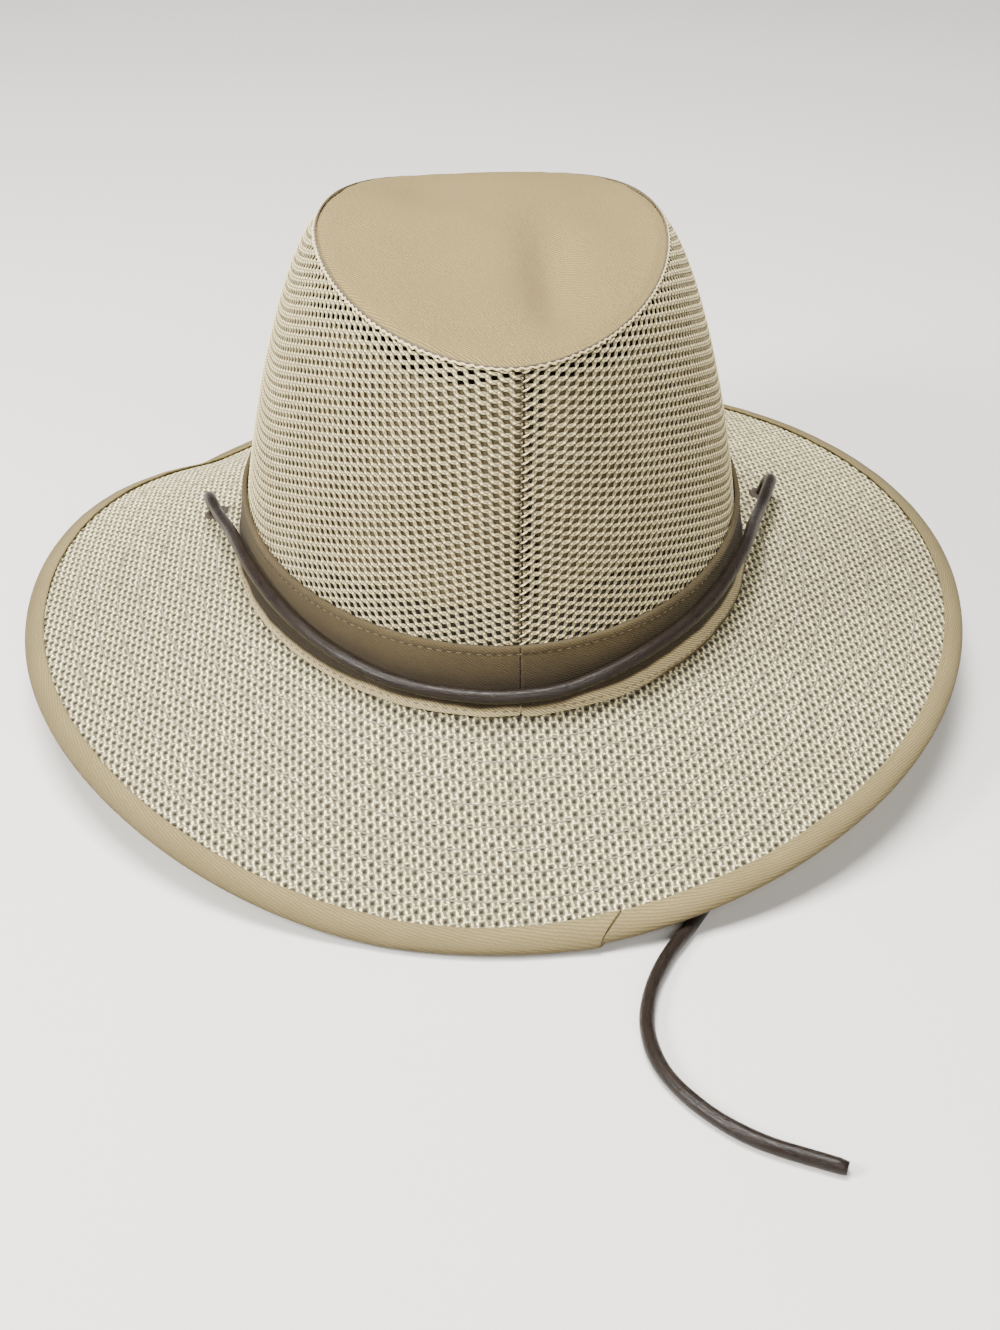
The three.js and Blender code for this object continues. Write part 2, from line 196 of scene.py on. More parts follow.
def crown_point(angle, level):
    """The crown's outer side, an oval that tapers and rounds over: level 0 at the brim, 1 at the top."""
    angle, level = np.broadcast_arrays(angle, level)
    rounding = level**ROUNDING_POWER
    half_width = HEAD_HALF_WIDTH - SIDE_TAPER * CROWN_HEIGHT * level - SIDE_ROUNDING * rounding
    half_length = HEAD_HALF_LENGTH - END_TAPER * CROWN_HEIGHT * level - END_ROUNDING * rounding
    fullness = 2 + (TOP_FULLNESS - 2) * level
    across = np.abs(np.cos(angle)) ** fullness
    along = np.abs(np.sin(angle)) ** fullness
    reach = (across + along) ** (-1 / fullness)
    x = half_width * np.cos(angle) * reach + CROWN_SHIFT * level
    y = half_length * np.sin(angle) * reach + CROWN_LEAN * level
    climb = level + SHOULDER_LIFT * level**SHOULDER_POWER * (1 - level)
    return stack(x, y, CROWN_BASE + (top_height(x, y) - CROWN_BASE) * climb)


def crown_normal(angle, level):
    """The outward direction of the crown's side, from two short steps along it."""
    step = 0.001
    here = crown_point(angle, level)
    round_it = crown_point(angle + step, level) - here
    upward = crown_point(angle, level + step) - here
    return unit(np.cross(round_it, upward))


def crown_heading(angle, level):
    """The outward direction of the crown's side in plan."""
    return unit(crown_normal(angle, level) * [1, 1, 0])


# Objects, and meshes from arrays

def add_object(name, data, place=(0, 0, 0), aim=None):
    """A new object in the scene, at a place and facing along the direction "aim", if given."""
    made = bpy.data.objects.new(name, data)
    made.location = place
    if aim is not None:
        made.rotation_euler = Vector(aim).to_track_quat("-Z", "Y").to_euler()
    bpy.context.scene.collection.objects.link(made)
    return made


def enclosed(points, face_groups):
    """Six times the volume inside a closed mesh, negative where its faces look inwards."""
    volume = 0.0
    for faces in face_groups:
        first = points[faces[:, 0]]
        for k in range(1, faces.shape[1] - 1):
            volume += np.sum(first * np.cross(points[faces[:, k]], points[faces[:, k + 1]]))
    return volume


def build_piece(name, points, face_groups, material, nodes=(), uv=None, depth=None):
    """A closed piece from the points that groups of faces use, turned to look outwards. uv is a pair for each
    point, or a list with a pair for each corner of each group's faces. depth is a value for each point that
    the material reads."""
    if isinstance(uv, np.ndarray):
        uv = [uv[faces] for faces in face_groups]
    used = np.unique(np.concatenate([faces.ravel() for faces in face_groups]))
    points = points[used]
    groups = [np.searchsorted(used, faces) for faces in face_groups]
    if enclosed(points, groups) < 0:
        groups = [faces[:, ::-1] for faces in groups]
        uv = uv and [pairs[:, ::-1] for pairs in uv]
    corners = np.concatenate([faces.ravel() for faces in groups])
    counts = np.concatenate([np.full(len(faces), faces.shape[1]) for faces in groups])
    mesh = bpy.data.meshes.new(name)
    mesh.vertices.add(len(points))
    mesh.vertices.foreach_set("co", points.astype(np.float32).ravel())
    mesh.loops.add(len(corners))
    mesh.loops.foreach_set("vertex_index", corners.astype(np.int32))
    mesh.polygons.add(len(counts))
    mesh.polygons.foreach_set("loop_start", (np.cumsum(counts) - counts).astype(np.int32))
    mesh.update(calc_edges=True)
    mesh.validate()
    mesh.polygons.foreach_set("use_smooth", np.ones(len(mesh.polygons), bool))
    if uv:
        pairs = np.concatenate([pairs.reshape(-1, 2) for pairs in uv]).astype(np.float32)
        mesh.uv_layers.new(name="UVMap").data.foreach_set("uv", pairs.ravel())
    if depth is not None:
        values = depth[used].astype(np.float32)
        mesh.attributes.new("depth", "FLOAT", "POINT").data.foreach_set("value", values)
    mesh.materials.append(material)
    piece = add_object(name, mesh)
    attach(piece, "root")
    if nodes:
        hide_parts(*nodes)
    return piece


def grid_quads(rows, columns, wrap_rows, wrap_columns):
    """Faces of a grid of points, and the unwrapped row and column of each face's corners."""
    row, column = np.mgrid[:rows - (not wrap_rows), :columns - (not wrap_columns)]
    corner_rows = stack(row, row, row + 1, row + 1).reshape(-1, 4)
    corner_columns = stack(column, column + 1, column + 1, column).reshape(-1, 4)
    return corner_rows % rows * columns + corner_columns % columns, corner_rows, corner_columns


SLIP_END = 0.016  # where along the section a slip of the map has died away, and over what length
SLIP_EASE = 0.006


def ring_piece(name, points, material, nodes=(), slip=0.0):
    """A ring with a closed section: points[angle, place in the section]. Its UV map is in metres, round the
    ring and along the section. "slip" moves the map's start up the section."""
    faces, corner_rows, corner_columns = grid_quads(*points.shape[:2], True, True)
    lap = np.linalg.norm(np.roll(points, -1, axis=0) - points, axis=2).mean(1)
    section = np.linalg.norm(np.roll(points, -1, axis=1) - points, axis=2).mean(0)
    u = running(lap)[corner_rows]
    v = running(section)[corner_columns]
    slip = np.resize(slip, len(points) + 1)[corner_rows]
    uv = stack(u, v - slip * np.clip((SLIP_END - v) / SLIP_EASE, 0, 1))
    return build_piece(name, points.reshape(-1, 3), [faces], material, nodes, [uv])


def sheet_solid(front, back, wrap=False):
    """Points of a thin closed sheet from its two skins, each [row, column], and groups of its faces: front,
    back, the walls at the first and last row, and those at the columns' ends unless wrap closes them."""
    rows, columns = front.shape[:2]
    count = rows * columns
    fore = grid_quads(rows, columns, False, wrap)[0]
    index = np.arange(count).reshape(rows, columns)
    if wrap:
        borders = [np.append(index[0], index[0, 0]), np.append(index[-1], index[-1, 0])[::-1]]
    else:
        borders = [index[0], index[-1][::-1], index[::-1, 0], index[:, -1]]
    walls = [stack(b[1:], b[:-1], b[:-1] + count, b[1:] + count) for b in borders]
    return np.concatenate([front.reshape(-1, 3), back.reshape(-1, 3)]), [fore, fore[:, ::-1] + count, *walls]


def tube_points(path, up, radius, sides):
    """A round section carried along a path, set out from "up". The radius is one value, or [point, side]."""
    ahead = unit(np.gradient(path, axis=0))
    across = unit(np.cross(ahead, up))
    ring = around(across, np.cross(across, ahead), circle(sides))
    return path[:, None] + ring * np.broadcast_to(radius, ring.shape[:2])[..., None]


def collar(outer, inner):
    """Quads between loops of points and as many further in, or at the back."""
    return stack(outer, np.roll(outer, -1, 1), np.roll(inner, -1, 1), inner).reshape(-1, 4)


def open_walls(loops, back_at):
    """Faces from the open border of a patch of cells, whose loops of corners share edges, to the same border
    at the back, back_at places further on."""
    edges = stack(loops, np.roll(loops, -1, 1)).reshape(-1, 2)
    key = edges.min(1) * (edges.max() + 1) + edges.max(1)
    _, which, count = np.unique(key, return_inverse=True, return_counts=True)
    end, start = edges[count[which] == 1].T
    return stack(start, end, end + back_at, start + back_at)


STITCH_RINGS = 7
STITCH_SIDES = 6
STITCH_PINCH = 0.12  # width left at a stitch's ends
STITCH_DIP = 1.1  # how many radii its ends lie below its middle


def stitches(name, centres, along, up, length, radius, material):
    """Short threads in one mesh, each a capsule that dips into the cloth at both ends: its width goes as the
    square root of 1 - share squared, and its dip as share squared, with share from -1 to 1."""
    share = np.linspace(-1, 1, STITCH_RINGS)
    width = np.sqrt(np.clip(1 - share**2, 0, 1)) + STITCH_PINCH
    across = unit(np.cross(along, up))
    above = np.cross(across, along)
    spot = centres[:, None, None] + along[:, None, None] * (share * length / 2)[None, :, None, None]
    spot = spot - above[:, None, None] * (share**2 * radius * STITCH_DIP)[None, :, None, None]
    ring = around(across[:, None], above[:, None], circle(STITCH_SIDES))
    points = spot + ring * (width * radius)[None, :, None, None]
    start = np.arange(len(centres))[:, None, None] * STITCH_RINGS * STITCH_SIDES
    body = (grid_quads(STITCH_RINGS, STITCH_SIDES, False, True)[0] + start).reshape(-1, 4)
    cap = np.arange(STITCH_SIDES)
    far_cap = cap + (STITCH_RINGS - 1) * STITCH_SIDES
    ends = np.concatenate([cap[::-1] + start, far_cap + start]).reshape(-1, STITCH_SIDES)
    return build_piece(name, points.reshape(-1, 3), [body, ends], material)


# Materials

class Recipe:
    """One material, put together node by node."""

    def __init__(self, name, roughness, sheen=0.0, specular=0.3):
        self.material = bpy.data.materials.new(name)
        self.material.use_nodes = True
        self.tree = self.material.node_tree
        self.shader = self.tree.nodes["Principled BSDF"]
        self.put(self.shader.inputs["Roughness"], roughness)
        self.put(self.shader.inputs["Specular IOR Level"], specular)
        if sheen:
            self.put(self.shader.inputs["Sheen Weight"], sheen)
            self.put(self.shader.inputs["Sheen Roughness"], 0.5)
        self.normal = None

    def put(self, socket, value):
        """Links a socket to another, or sets its value. A colour of three numbers gets its fourth."""
        if isinstance(value, bpy.types.NodeSocket):
            self.tree.links.new(value, socket)
        elif hasattr(value, "__len__") and len(value) == 3 and len(socket.default_value) == 4:
            socket.default_value = (*value, 1.0)
        else:
            socket.default_value = value

    def node(self, kind, inputs, output=0, **settings):
        """A new node with its settings and inputs, and one of its outputs, or a slice of them."""
        made = self.tree.nodes.new(kind)
        for key, value in settings.items():
            setattr(made, key, value)
        for socket, value in inputs.items():
            self.put(made.inputs[socket], value)
        return made.outputs[output]

    def place(self, scale=(1, 1, 1), turn=0.0, uv=False):
        """Object coordinates, or the UV map, scaled and turned about Z."""
        source = self.node("ShaderNodeTexCoord", {}, "UV" if uv else "Object")
        return self.node("ShaderNodeMapping", {"Vector": source, "Rotation": (0, 0, turn), "Scale": scale})

    def sum(self, kind, a, b=0.0, c=0.0):
        return self.node("ShaderNodeMath", {0: a, 1: b, 2: c}, operation=kind)

    def split(self, vector):
        return self.node("ShaderNodeSeparateXYZ", {0: vector}, slice(3))

    def noise(self, vector, scale, detail=2.0, rough=0.5):
        inputs = {"Vector": vector, "Scale": scale, "Detail": detail, "Roughness": rough}
        return self.node("ShaderNodeTexNoise", inputs, "Fac")

    def spread(self, value, low, high, out_low=0.0, out_high=1.0):
        return self.node("ShaderNodeMapRange", {0: value, 1: low, 2: high, 3: out_low, 4: out_high})

    def mix(self, share, a, b):
        return self.node("ShaderNodeMix", {0: share, 6: a, 7: b}, 2, data_type="RGBA")

    def depth(self):
        """The value that the piece's points have for this material."""
        return self.node("ShaderNodeAttribute", {}, "Fac", attribute_name="depth")

    def bump(self, height, distance):
        """Bump of a height in metres, on top of any that is there already."""
        inputs = {"Distance": distance, "Height": height}
        if self.normal is not None:
            inputs["Normal"] = self.normal
        self.normal = self.node("ShaderNodeBump", inputs)

    def done(self, colour):
        self.put(self.shader.inputs["Base Color"], colour)
        if self.normal is not None:
            self.put(self.shader.inputs["Normal"], self.normal)
        return self.material


def ripple(recipe, coordinate):
    """A wave from 0 to 1 that peaks at whole numbers of the coordinate."""
    turned = recipe.sum("MULTIPLY", coordinate, 2 * math.pi)
    return recipe.sum("MULTIPLY_ADD", recipe.sum("COSINE", turned), 0.5, 0.5)


def darker(colour, share):
    """A colour with each channel brought down to a share of itself."""
    return tuple(share * channel for channel in colour)


def twill(name, light, dark, pitch, turn, depth, contrast, zones=()):
    """Twill cloth: ribs "pitch" apart and "depth" high at a slant, broken up by the yarns' unevenness, on
    faded cotton, with painted shade in the gaps between the ribs. A zone is another colour, here painted
    shade and painted light, and places along the section: where it starts, is full, eases off and ends."""
    cloth = Recipe(name, 0.86, sheen=0.04, specular=0.15)
    across = cloth.split(cloth.place((1 / pitch, 1 / pitch, 1 / pitch), turn, True))[0]
    plain = cloth.place(uv=True)
    wobble = cloth.noise(plain, 700, 1.0)
    rib = ripple(cloth, cloth.sum("MULTIPLY_ADD", wobble, 0.8, across))
    weft = cloth.noise(cloth.place((1, 5, 1), turn, True), 1400)
    cloth.bump(cloth.sum("MULTIPLY_ADD", weft, 0.5, rib), depth)
    worn = cloth.spread(cloth.noise(plain, 28, 4.0, 0.6), 0.3, 0.7)
    base = cloth.mix(worn, dark, light)
    for colour, first, full, easing, last in zones:
        uneven = cloth.noise(plain, 60, 3.0)
        place = cloth.sum("MULTIPLY_ADD", uneven, 0.0016, cloth.split(plain)[1])
        comes = cloth.spread(place, first, full)
        goes = cloth.spread(place, easing, last, 1.0, 0.0)
        base = cloth.mix(cloth.sum("MULTIPLY", comes, goes), base, colour)
    # painted shade: darker in the gaps between the ribs, mixed with the yarns' uneven tone
    gap = cloth.sum("POWER", cloth.sum("SUBTRACT", 1.0, rib), 1.5)
    grain = cloth.sum("MULTIPLY", cloth.sum("MULTIPLY_ADD", weft, 1.0, gap), contrast)
    return cloth.done(cloth.mix(grain, base, darker(dark, 0.45)))


def net_cloth():
    """The net's yarn: slanting strands, four to a stitch, uneven, with painted shade between them and in its
    deep places.
    """
    cloth = Recipe("net_yarn", 0.7, sheen=0.03, specular=0.25)
    u, v, _ = cloth.split(cloth.place(uv=True))
    wander = cloth.noise(cloth.place(uv=True), 1.3, 1.0)
    slant = cloth.sum("MULTIPLY_ADD", wander, 0.12, cloth.sum("SUBTRACT", u, v))
    strand = cloth.sum("POWER", ripple(cloth, cloth.sum("MULTIPLY", slant, 2.0)), 3.0)
    fibre = cloth.noise(cloth.place(), 2200)
    cloth.bump(cloth.sum("SUBTRACT", 1.0, strand), 0.00016)
    cloth.bump(fibre, 0.00008)
    mottle = cloth.noise(cloth.place(), 60, 3.0, 0.6)
    crest = cloth.mix(cloth.spread(mottle, 0.35, 0.65), (0.78, 0.665, 0.35), (0.86, 0.745, 0.41))
    depth = cloth.depth()
    # painted shade: dark in the grooves between the strands, and near black the deeper a point lies below the
    # net's face
    strands = cloth.mix(cloth.sum("MULTIPLY", strand, 0.92), crest, (0.105, 0.079, 0.041))
    return cloth.done(cloth.mix(cloth.spread(depth, 0.12, 0.54, 0.0, 0.96), strands, (0.05, 0.038, 0.02)))


def lining_cloth():
    """Thin khaki cloth behind the net, its colour darkened as painted shade for the inside of the crown."""
    cloth = Recipe("lining_cloth", 0.95, specular=0.1)
    cloth.bump(cloth.noise(cloth.place(), 900), 0.00005)
    mottle = cloth.noise(cloth.place(), 50, 3.0, 0.6)
    # painted shade: a very dark khaki, for the cloth in the crown's shade
    return cloth.done(cloth.mix(mottle, (0.064, 0.05, 0.027), (0.09, 0.071, 0.039)))


def knit_cloth():
    """The brim's knit: cream loops, with painted shade between their beads, in its grooves and down inside
    each stitch.
    """
    cloth = Recipe("brim_yarn", 0.8, sheen=0.04, specular=0.2)
    inputs = {"Vector": cloth.place((1, 0.7, 1)), "Scale": 1250, "Smoothness": 0.45}
    knobs = cloth.node("ShaderNodeTexVoronoi", inputs, "Distance", feature="SMOOTH_F1")
    bead = cloth.sum("SUBTRACT", 1.0, knobs)
    cloth.bump(bead, 0.00035)
    mottle = cloth.noise(cloth.place(), 45, 3.0, 0.6)
    base = cloth.mix(cloth.spread(mottle, 0.35, 0.65), (0.97, 0.885, 0.47), (1.0, 0.94, 0.54))
    # painted shade in the hollows between the beads
    bead_gaps_shaded = cloth.mix(cloth.spread(bead, 0.66, 0.46, 0.0, 0.85), base, (0.33, 0.28, 0.16))
    depth = cloth.depth()
    # painted shade by depth: dark in the grooves and stems, near black on the pits' floors
    grooved = cloth.mix(cloth.spread(depth, 0.19, 0.3), bead_gaps_shaded, (0.11, 0.097, 0.062))
    return cloth.done(cloth.mix(cloth.spread(depth, 0.38, 0.56), grooved, (0.022, 0.018, 0.011)))


def thread(name, colour):
    """Sewing thread: a single colour, uneven from place to place, with a fine twist."""
    yarn = Recipe(name, 0.7, sheen=0.1)
    yarn.bump(yarn.noise(yarn.place(turn=0.7), 2600, 1.0), 0.00006)
    return yarn.done(yarn.mix(yarn.noise(yarn.place(), 160), darker(colour, 0.7), colour))


def leather(name, light, body, dark):
    """Round leather lacing: burnished, with fine cracks across it and the colour rubbed off in patches."""
    hide = Recipe(name, 0.5, specular=0.17)
    grain = hide.noise(hide.place(uv=True), 1800, 4.0, 0.65)
    cracks = hide.noise(hide.place((0.5, 2.5, 1), uv=True), 420, 3.0, 0.6)
    hide.bump(grain, 0.00006)
    hide.bump(hide.spread(cracks, 0.42, 0.5), 0.00005)
    rubbed = hide.noise(hide.place((1, 3, 1), uv=True), 70, 5.0, 0.7)
    base = hide.mix(hide.spread(rubbed, 0.55, 0.9), body, light)
    hide.put(hide.shader.inputs["Roughness"], hide.spread(rubbed, 0.3, 0.8, 0.31, 0.4))
    return hide.done(hide.mix(hide.spread(cracks, 0.46, 0.38, 0.0, 0.8), base, dark))


BAND_ZONES = [
    ((0.015, 0.01, 0.0054), 0.0026, 0.0042, 0.01, 0.0205),  # shade round the cord
    ((0.6, 0.49, 0.265), -0.002, -0.001, 0.0024, 0.0036),  # painted light on the lip, the band's flared foot, where it faces up
]
BINDING_ZONES = [((0.095, 0.073, 0.034), -0.002, -0.001, 0.0052, 0.0112)]  # the fold's shady side
TOP_TWILL = twill(
    "top_twill", (0.345, 0.257, 0.101), (0.3, 0.222, 0.086),
    pitch=0.00082, turn=-0.72, depth=0.00026, contrast=0.75,
)
BAND_TWILL = twill(
    "band_twill", (0.096, 0.07, 0.031), (0.056, 0.0405, 0.018),
    pitch=0.0007, turn=-1.0, depth=0.00016, contrast=0.5, zones=BAND_ZONES,
)
BINDING_TWILL = twill(
    "binding_twill", (0.24, 0.19, 0.088), (0.2, 0.158, 0.072),
    pitch=0.0009, turn=-1.36, depth=0.00014, contrast=0.5, zones=BINDING_ZONES,
)
SWEAT_TWILL = twill(
    "sweatband_cloth", (0.06, 0.053, 0.044), (0.045, 0.04, 0.034),
    pitch=0.0007, turn=0.9, depth=0.00006, contrast=0.3,
)
NET_YARN = net_cloth()
LINING = lining_cloth()
KNIT_YARN = knit_cloth()
GREY_THREAD = thread("brim_thread", (0.21, 0.19, 0.135))
KHAKI_THREAD = thread("khaki_thread", (0.16, 0.123, 0.064))
NET_THREAD = thread("seam_thread", (0.62, 0.52, 0.285))
# painted shade: near-black colour for the line along the crease between the net and the top
SEAM_CREASE_SHADOW = thread("seam_crease_shadow", (0.085, 0.064, 0.036))
# near-black: the eyelets' thread, whose inner side fills the hole round the cord as painted shade
OLIVE_THREAD = thread("eyelet_thread", (0.042, 0.031, 0.021))
DARK_LEATHER = leather(
    "dark_leather", (0.025, 0.0175, 0.0128), (0.0125, 0.0086, 0.0066), (0.006, 0.0045, 0.0037)
)
SLIDE_LEATHER = leather("slide_leather", (0.22, 0.13, 0.07), (0.12, 0.065, 0.035), (0.03, 0.018, 0.01))

# Camera, floor and light

CAMERA_PLACE = (-0.0323, -0.5528, 0.3549)
CAMERA_TILT = math.radians(34)
CAMERA_HEADING = math.radians(3.7)
CAMERA_LENS = 49.6
FLOOR_HALF = 6.0
FLOOR_DROP = 0.0001
ROOM_COLOUR = (0.93, 0.96, 1.0)
ROOM_STRENGTH = 0.22
LIGHT_AIM = Vector((0, 0, 0.06))
LIGHTS = [  # name, place, width, power, colour
    ("key", (-1.0, -0.45, 0.8), 0.4, 38, (1.0, 0.98, 0.94)),
    ("overhead", (-0.14, -0.08, 1.35), 0.6, 59, (1.0, 0.98, 0.94)),
    ("front_fill", (0.36, -1.3, 0.85), 1.0, 23, (1.0, 0.97, 0.93)),
]


def make_camera():
    """The camera behind the hat and above it, looking down at its back seam."""
    data = bpy.data.cameras.new("camera")
    data.lens = CAMERA_LENS
    level = math.cos(CAMERA_TILT)
    aim = (math.sin(CAMERA_HEADING) * level, math.cos(CAMERA_HEADING) * level, -math.sin(CAMERA_TILT))
    bpy.context.scene.camera = add_object("camera", data, CAMERA_PLACE, aim)


def make_floor():
    """A wide pale floor, just under the hat."""
    mesh = bpy.data.meshes.new("floor")
    corners = [(-1, -1), (1, -1), (1, 1), (-1, 1)]
    points = [(FLOOR_HALF * x, FLOOR_HALF * y, -FLOOR_DROP) for x, y in corners]
    mesh.from_pydata(points, [], [(0, 1, 2, 3)])
    paint = Recipe("floor", 0.6, specular=0.2)
    patches = paint.noise(paint.place(), 3)
    mesh.materials.append(paint.done(paint.mix(patches, (0.6, 0.59, 0.57), (0.63, 0.62, 0.6))))
    add_object("floor", mesh)


def make_light():
    """A pale room, a key light above and to the left, a soft one overhead and a wide one by the camera."""
    world = bpy.data.worlds.new("room")
    bpy.context.scene.world = world
    world.use_nodes = True
    background = world.node_tree.nodes["Background"]
    background.inputs["Color"].default_value = (*ROOM_COLOUR, 1.0)
    background.inputs["Strength"].default_value = ROOM_STRENGTH
    for name, place, width, power, colour in LIGHTS:
        data = bpy.data.lights.new(name, "AREA")
        data.size = width
        data.energy = power
        data.color = colour
        add_object(name, data, place, LIGHT_AIM - Vector(place))


make_camera()
make_floor()
make_light()

# Chin cord: one leather lace in three stretches that meet in the eyelets

CORD_ROUTES = {
    "chin_cord_over_brim": [
        (-0.0966, 0.0264, 0.0331), (-0.0976, 0.0263, 0.0372), (-0.0980, 0.0235, 0.0415),
        (-0.0966, 0.0160, 0.0442), (-0.0936, 0.0050, 0.0454), (-0.0884, -0.0120, 0.0482),
        (-0.0799, -0.0438, 0.0529), (-0.0712, -0.0630, 0.0514), (-0.0616, -0.0778, 0.0494),
        (-0.0493, -0.0913, 0.0475), (-0.0359, -0.1014, 0.0459), (-0.0213, -0.1079, 0.0453),
        (-0.0066, -0.1110, 0.0450), (0.0025, -0.1112, 0.0451), (0.0142, -0.1097, 0.0456),
        (0.0265, -0.1055, 0.0475), (0.0392, -0.0985, 0.0496), (0.0531, -0.0869, 0.0514),
        (0.0625, -0.0760, 0.0523), (0.0706, -0.0637, 0.0533), (0.0810, -0.0417, 0.0530),
        (0.0876, -0.0215, 0.0495), (0.0926, -0.0065, 0.0465), (0.0982, 0.0090, 0.0454),
        (0.1016, 0.0200, 0.0436), (0.1014, 0.0260, 0.0390), (0.1001, 0.0263, 0.0336),
    ],
    "chin_cord_left": [
        (-0.0964, 0.0264, 0.0327), (-0.0954, 0.0266, 0.0280), (-0.0936, 0.0290, 0.0170),
        (-0.0915, 0.0350, 0.0065), (-0.0850, 0.0460, 0.0028), (-0.0700, 0.0560, 0.0023),
        (-0.0480, 0.0550, 0.0023), (-0.0250, 0.0380, 0.0023), (-0.0050, 0.0120, 0.0023),
        (0.0120, -0.0180, 0.0023), (0.0290, -0.0500, 0.0023), (0.0430, -0.0760, 0.0025),
        (0.0515, -0.0880, 0.0032), (0.0548, -0.0970, 0.0038), (0.0548, -0.1130, 0.0038),
        (0.0525, -0.1220, 0.0032), (0.0450, -0.1315, 0.0023), (0.0320, -0.1380, 0.0023),
        (0.0170, -0.1400, 0.0023),
    ],
    "chin_cord_right": [
        (0.0999, 0.0263, 0.0332), (0.0992, 0.0266, 0.0285), (0.0976, 0.0295, 0.0170),
        (0.0945, 0.0370, 0.0065), (0.0870, 0.0490, 0.0028), (0.0700, 0.0580, 0.0023),
        (0.0500, 0.0520, 0.0023), (0.0340, 0.0320, 0.0023), (0.0290, 0.0040, 0.0023),
        (0.0360, -0.0280, 0.0023), (0.0480, -0.0580, 0.0023), (0.0565, -0.0770, 0.0025),
        (0.0602, -0.0890, 0.0032), (0.0612, -0.0970, 0.0038), (0.0612, -0.1130, 0.0038),
        (0.0613, -0.1240, 0.0030), (0.0605, -0.1380, 0.0023), (0.0560, -0.1520, 0.0023),
        (0.0475, -0.1660, 0.0023), (0.0385, -0.1790, 0.0023), (0.0320, -0.1930, 0.0023),
        (0.0294, -0.2070, 0.0023), (0.0315, -0.2210, 0.0023), (0.0390, -0.2340, 0.0023),
        (0.0510, -0.2455, 0.0023), (0.0722, -0.2563, 0.0023),
    ],
}
CORD_REFERENCE = np.array([0.7, 0.0, 0.7])  # the cord never runs this way
CORD_SIDES = 14
CORD_SPAN_STEPS = 10
CUT_LENGTH = 0.0003  # the cord's cut ends are rounded over this length, to this share of its radius
CUT_SHARE = 0.86


def smooth_route(route):
    """A centripetal Catmull-Rom curve through the route's points: the Barry-Goldman pyramid on knots whose
    steps are the square roots of the chords."""
    route = np.concatenate([[2 * route[0] - route[1]], route, [2 * route[-1] - route[-2]]])
    knots = running(np.linalg.norm(np.diff(route, axis=0), axis=1) ** 0.5)
    points = [route[k:len(route) - 3 + k, None] for k in range(4)]
    t = [knots[k:len(knots) - 3 + k, None, None] for k in range(4)]
    now = t[1] + (t[2] - t[1]) * np.linspace(0, 1, CORD_SPAN_STEPS, endpoint=False)[None, :, None]
    for spans in ([(0, 1), (1, 2), (2, 3)], [(0, 2), (1, 3)], [(1, 2)]):
        points = [
            (t[j] - now) / (t[j] - t[i]) * points[k] + (now - t[i]) / (t[j] - t[i]) * points[k + 1]
            for k, (i, j) in enumerate(spans)
        ]
    return np.concatenate([points[0].reshape(-1, 3), route[-2:-1]])


def make_cord(node, route):
    """A leather lace along its route: a round section, a little uneven, with rounded cut ends."""
    path = smooth_route(route)
    along = running(np.linalg.norm(np.diff(path, axis=0), axis=1))
    length = along[-1]
    turn = circle(CORD_SIDES)
    wave = 1 + 0.018 * np.sin(along / 0.0071) + 0.014 * np.sin(along / 0.0027 + 1.3)
    from_end = np.minimum(along, length - along)
    radius = CORD_DIAMETER / 2 * wave * np.where(from_end < CUT_LENGTH, CUT_SHARE, 1.0)
    flat = 1 + 0.02 * np.cos(2 * turn)[None, :] * np.sin(along / 0.019)[:, None]
    points = tube_points(path, CORD_REFERENCE, radius[:, None] * flat, CORD_SIDES).reshape(-1, 3)
    faces, corner_rows, corner_columns = grid_quads(len(path), CORD_SIDES, False, True)
    body_uv = stack(along[corner_rows], corner_columns * (np.pi * CORD_DIAMETER / CORD_SIDES))
    cap = np.arange(CORD_SIDES)[None]
    caps = np.concatenate([cap[:, ::-1], cap + (len(path) - 1) * CORD_SIDES])
    cap_uv = stack(np.cos(turn), np.sin(turn))[None] * CORD_DIAMETER / 2
    cap_uv = np.concatenate([cap_uv[:, ::-1], cap_uv + [length, 0]])
    piece = build_piece(
        node + "_lace", points, [faces, caps], DARK_LEATHER, [node], [body_uv, cap_uv]
    )


for cord_node, cord_route in CORD_ROUTES.items():
    make_cord(cord_node, np.array(cord_route))

# Crown: two sides of net, the cloth behind them, the seam threads and the chain stitched round the top

STITCH = 0.0029  # one stitch of net round the crown, at STITCH_HEIGHT up it
STITCH_HEIGHT = 0.05
NET_STRETCH = 3.3  # share by which a stitch widens for each metre up the wall
NET_GATHER = 2.2  # how late on the way to the front the surplus of stitches is taken up
ROW = 0.00262  # one stitch up the wall
NET_COLUMNS = 102
NET_ROWS = 56
NET_START = 0.015  # the net begins behind the hat band
NET_TOP = 0.985  # share of the wall's height where it is sewn to the top
NET_EASE = 0.01
NET_SLOPE = 0.235  # fall of a row of net beside a seam, and how fast it steepens away from it
NET_STEEPENING = 0.9
NET_TURN = 0.095  # how far from a seam the rows begin to level out
SEAM_GAP = 0.0003
SWEEP_MARGIN = 6  # degrees by which a side's table starts before the back seam and ends past the front one
SWEEP_STEPS = 1201
CLIMB_STEPS = 401
TABLE_LEVELS = 49
TABLE_STEPS = 361
PLACE_PASSES = 4


def between(table, row, column):
    """Values between the entries of a table, in a straight line both ways."""
    row = np.clip(row, 0, table.shape[0] - 1.000001)
    column = np.clip(column, 0, table.shape[1] - 1.000001)
    i = row.astype(int)
    j = column.astype(int)
    p = row - i
    q = column - j
    near = table[i, j] * (1 - p) + table[i + 1, j] * p
    return near * (1 - q) + (table[i, j + 1] * (1 - p) + table[i + 1, j + 1] * p) * q


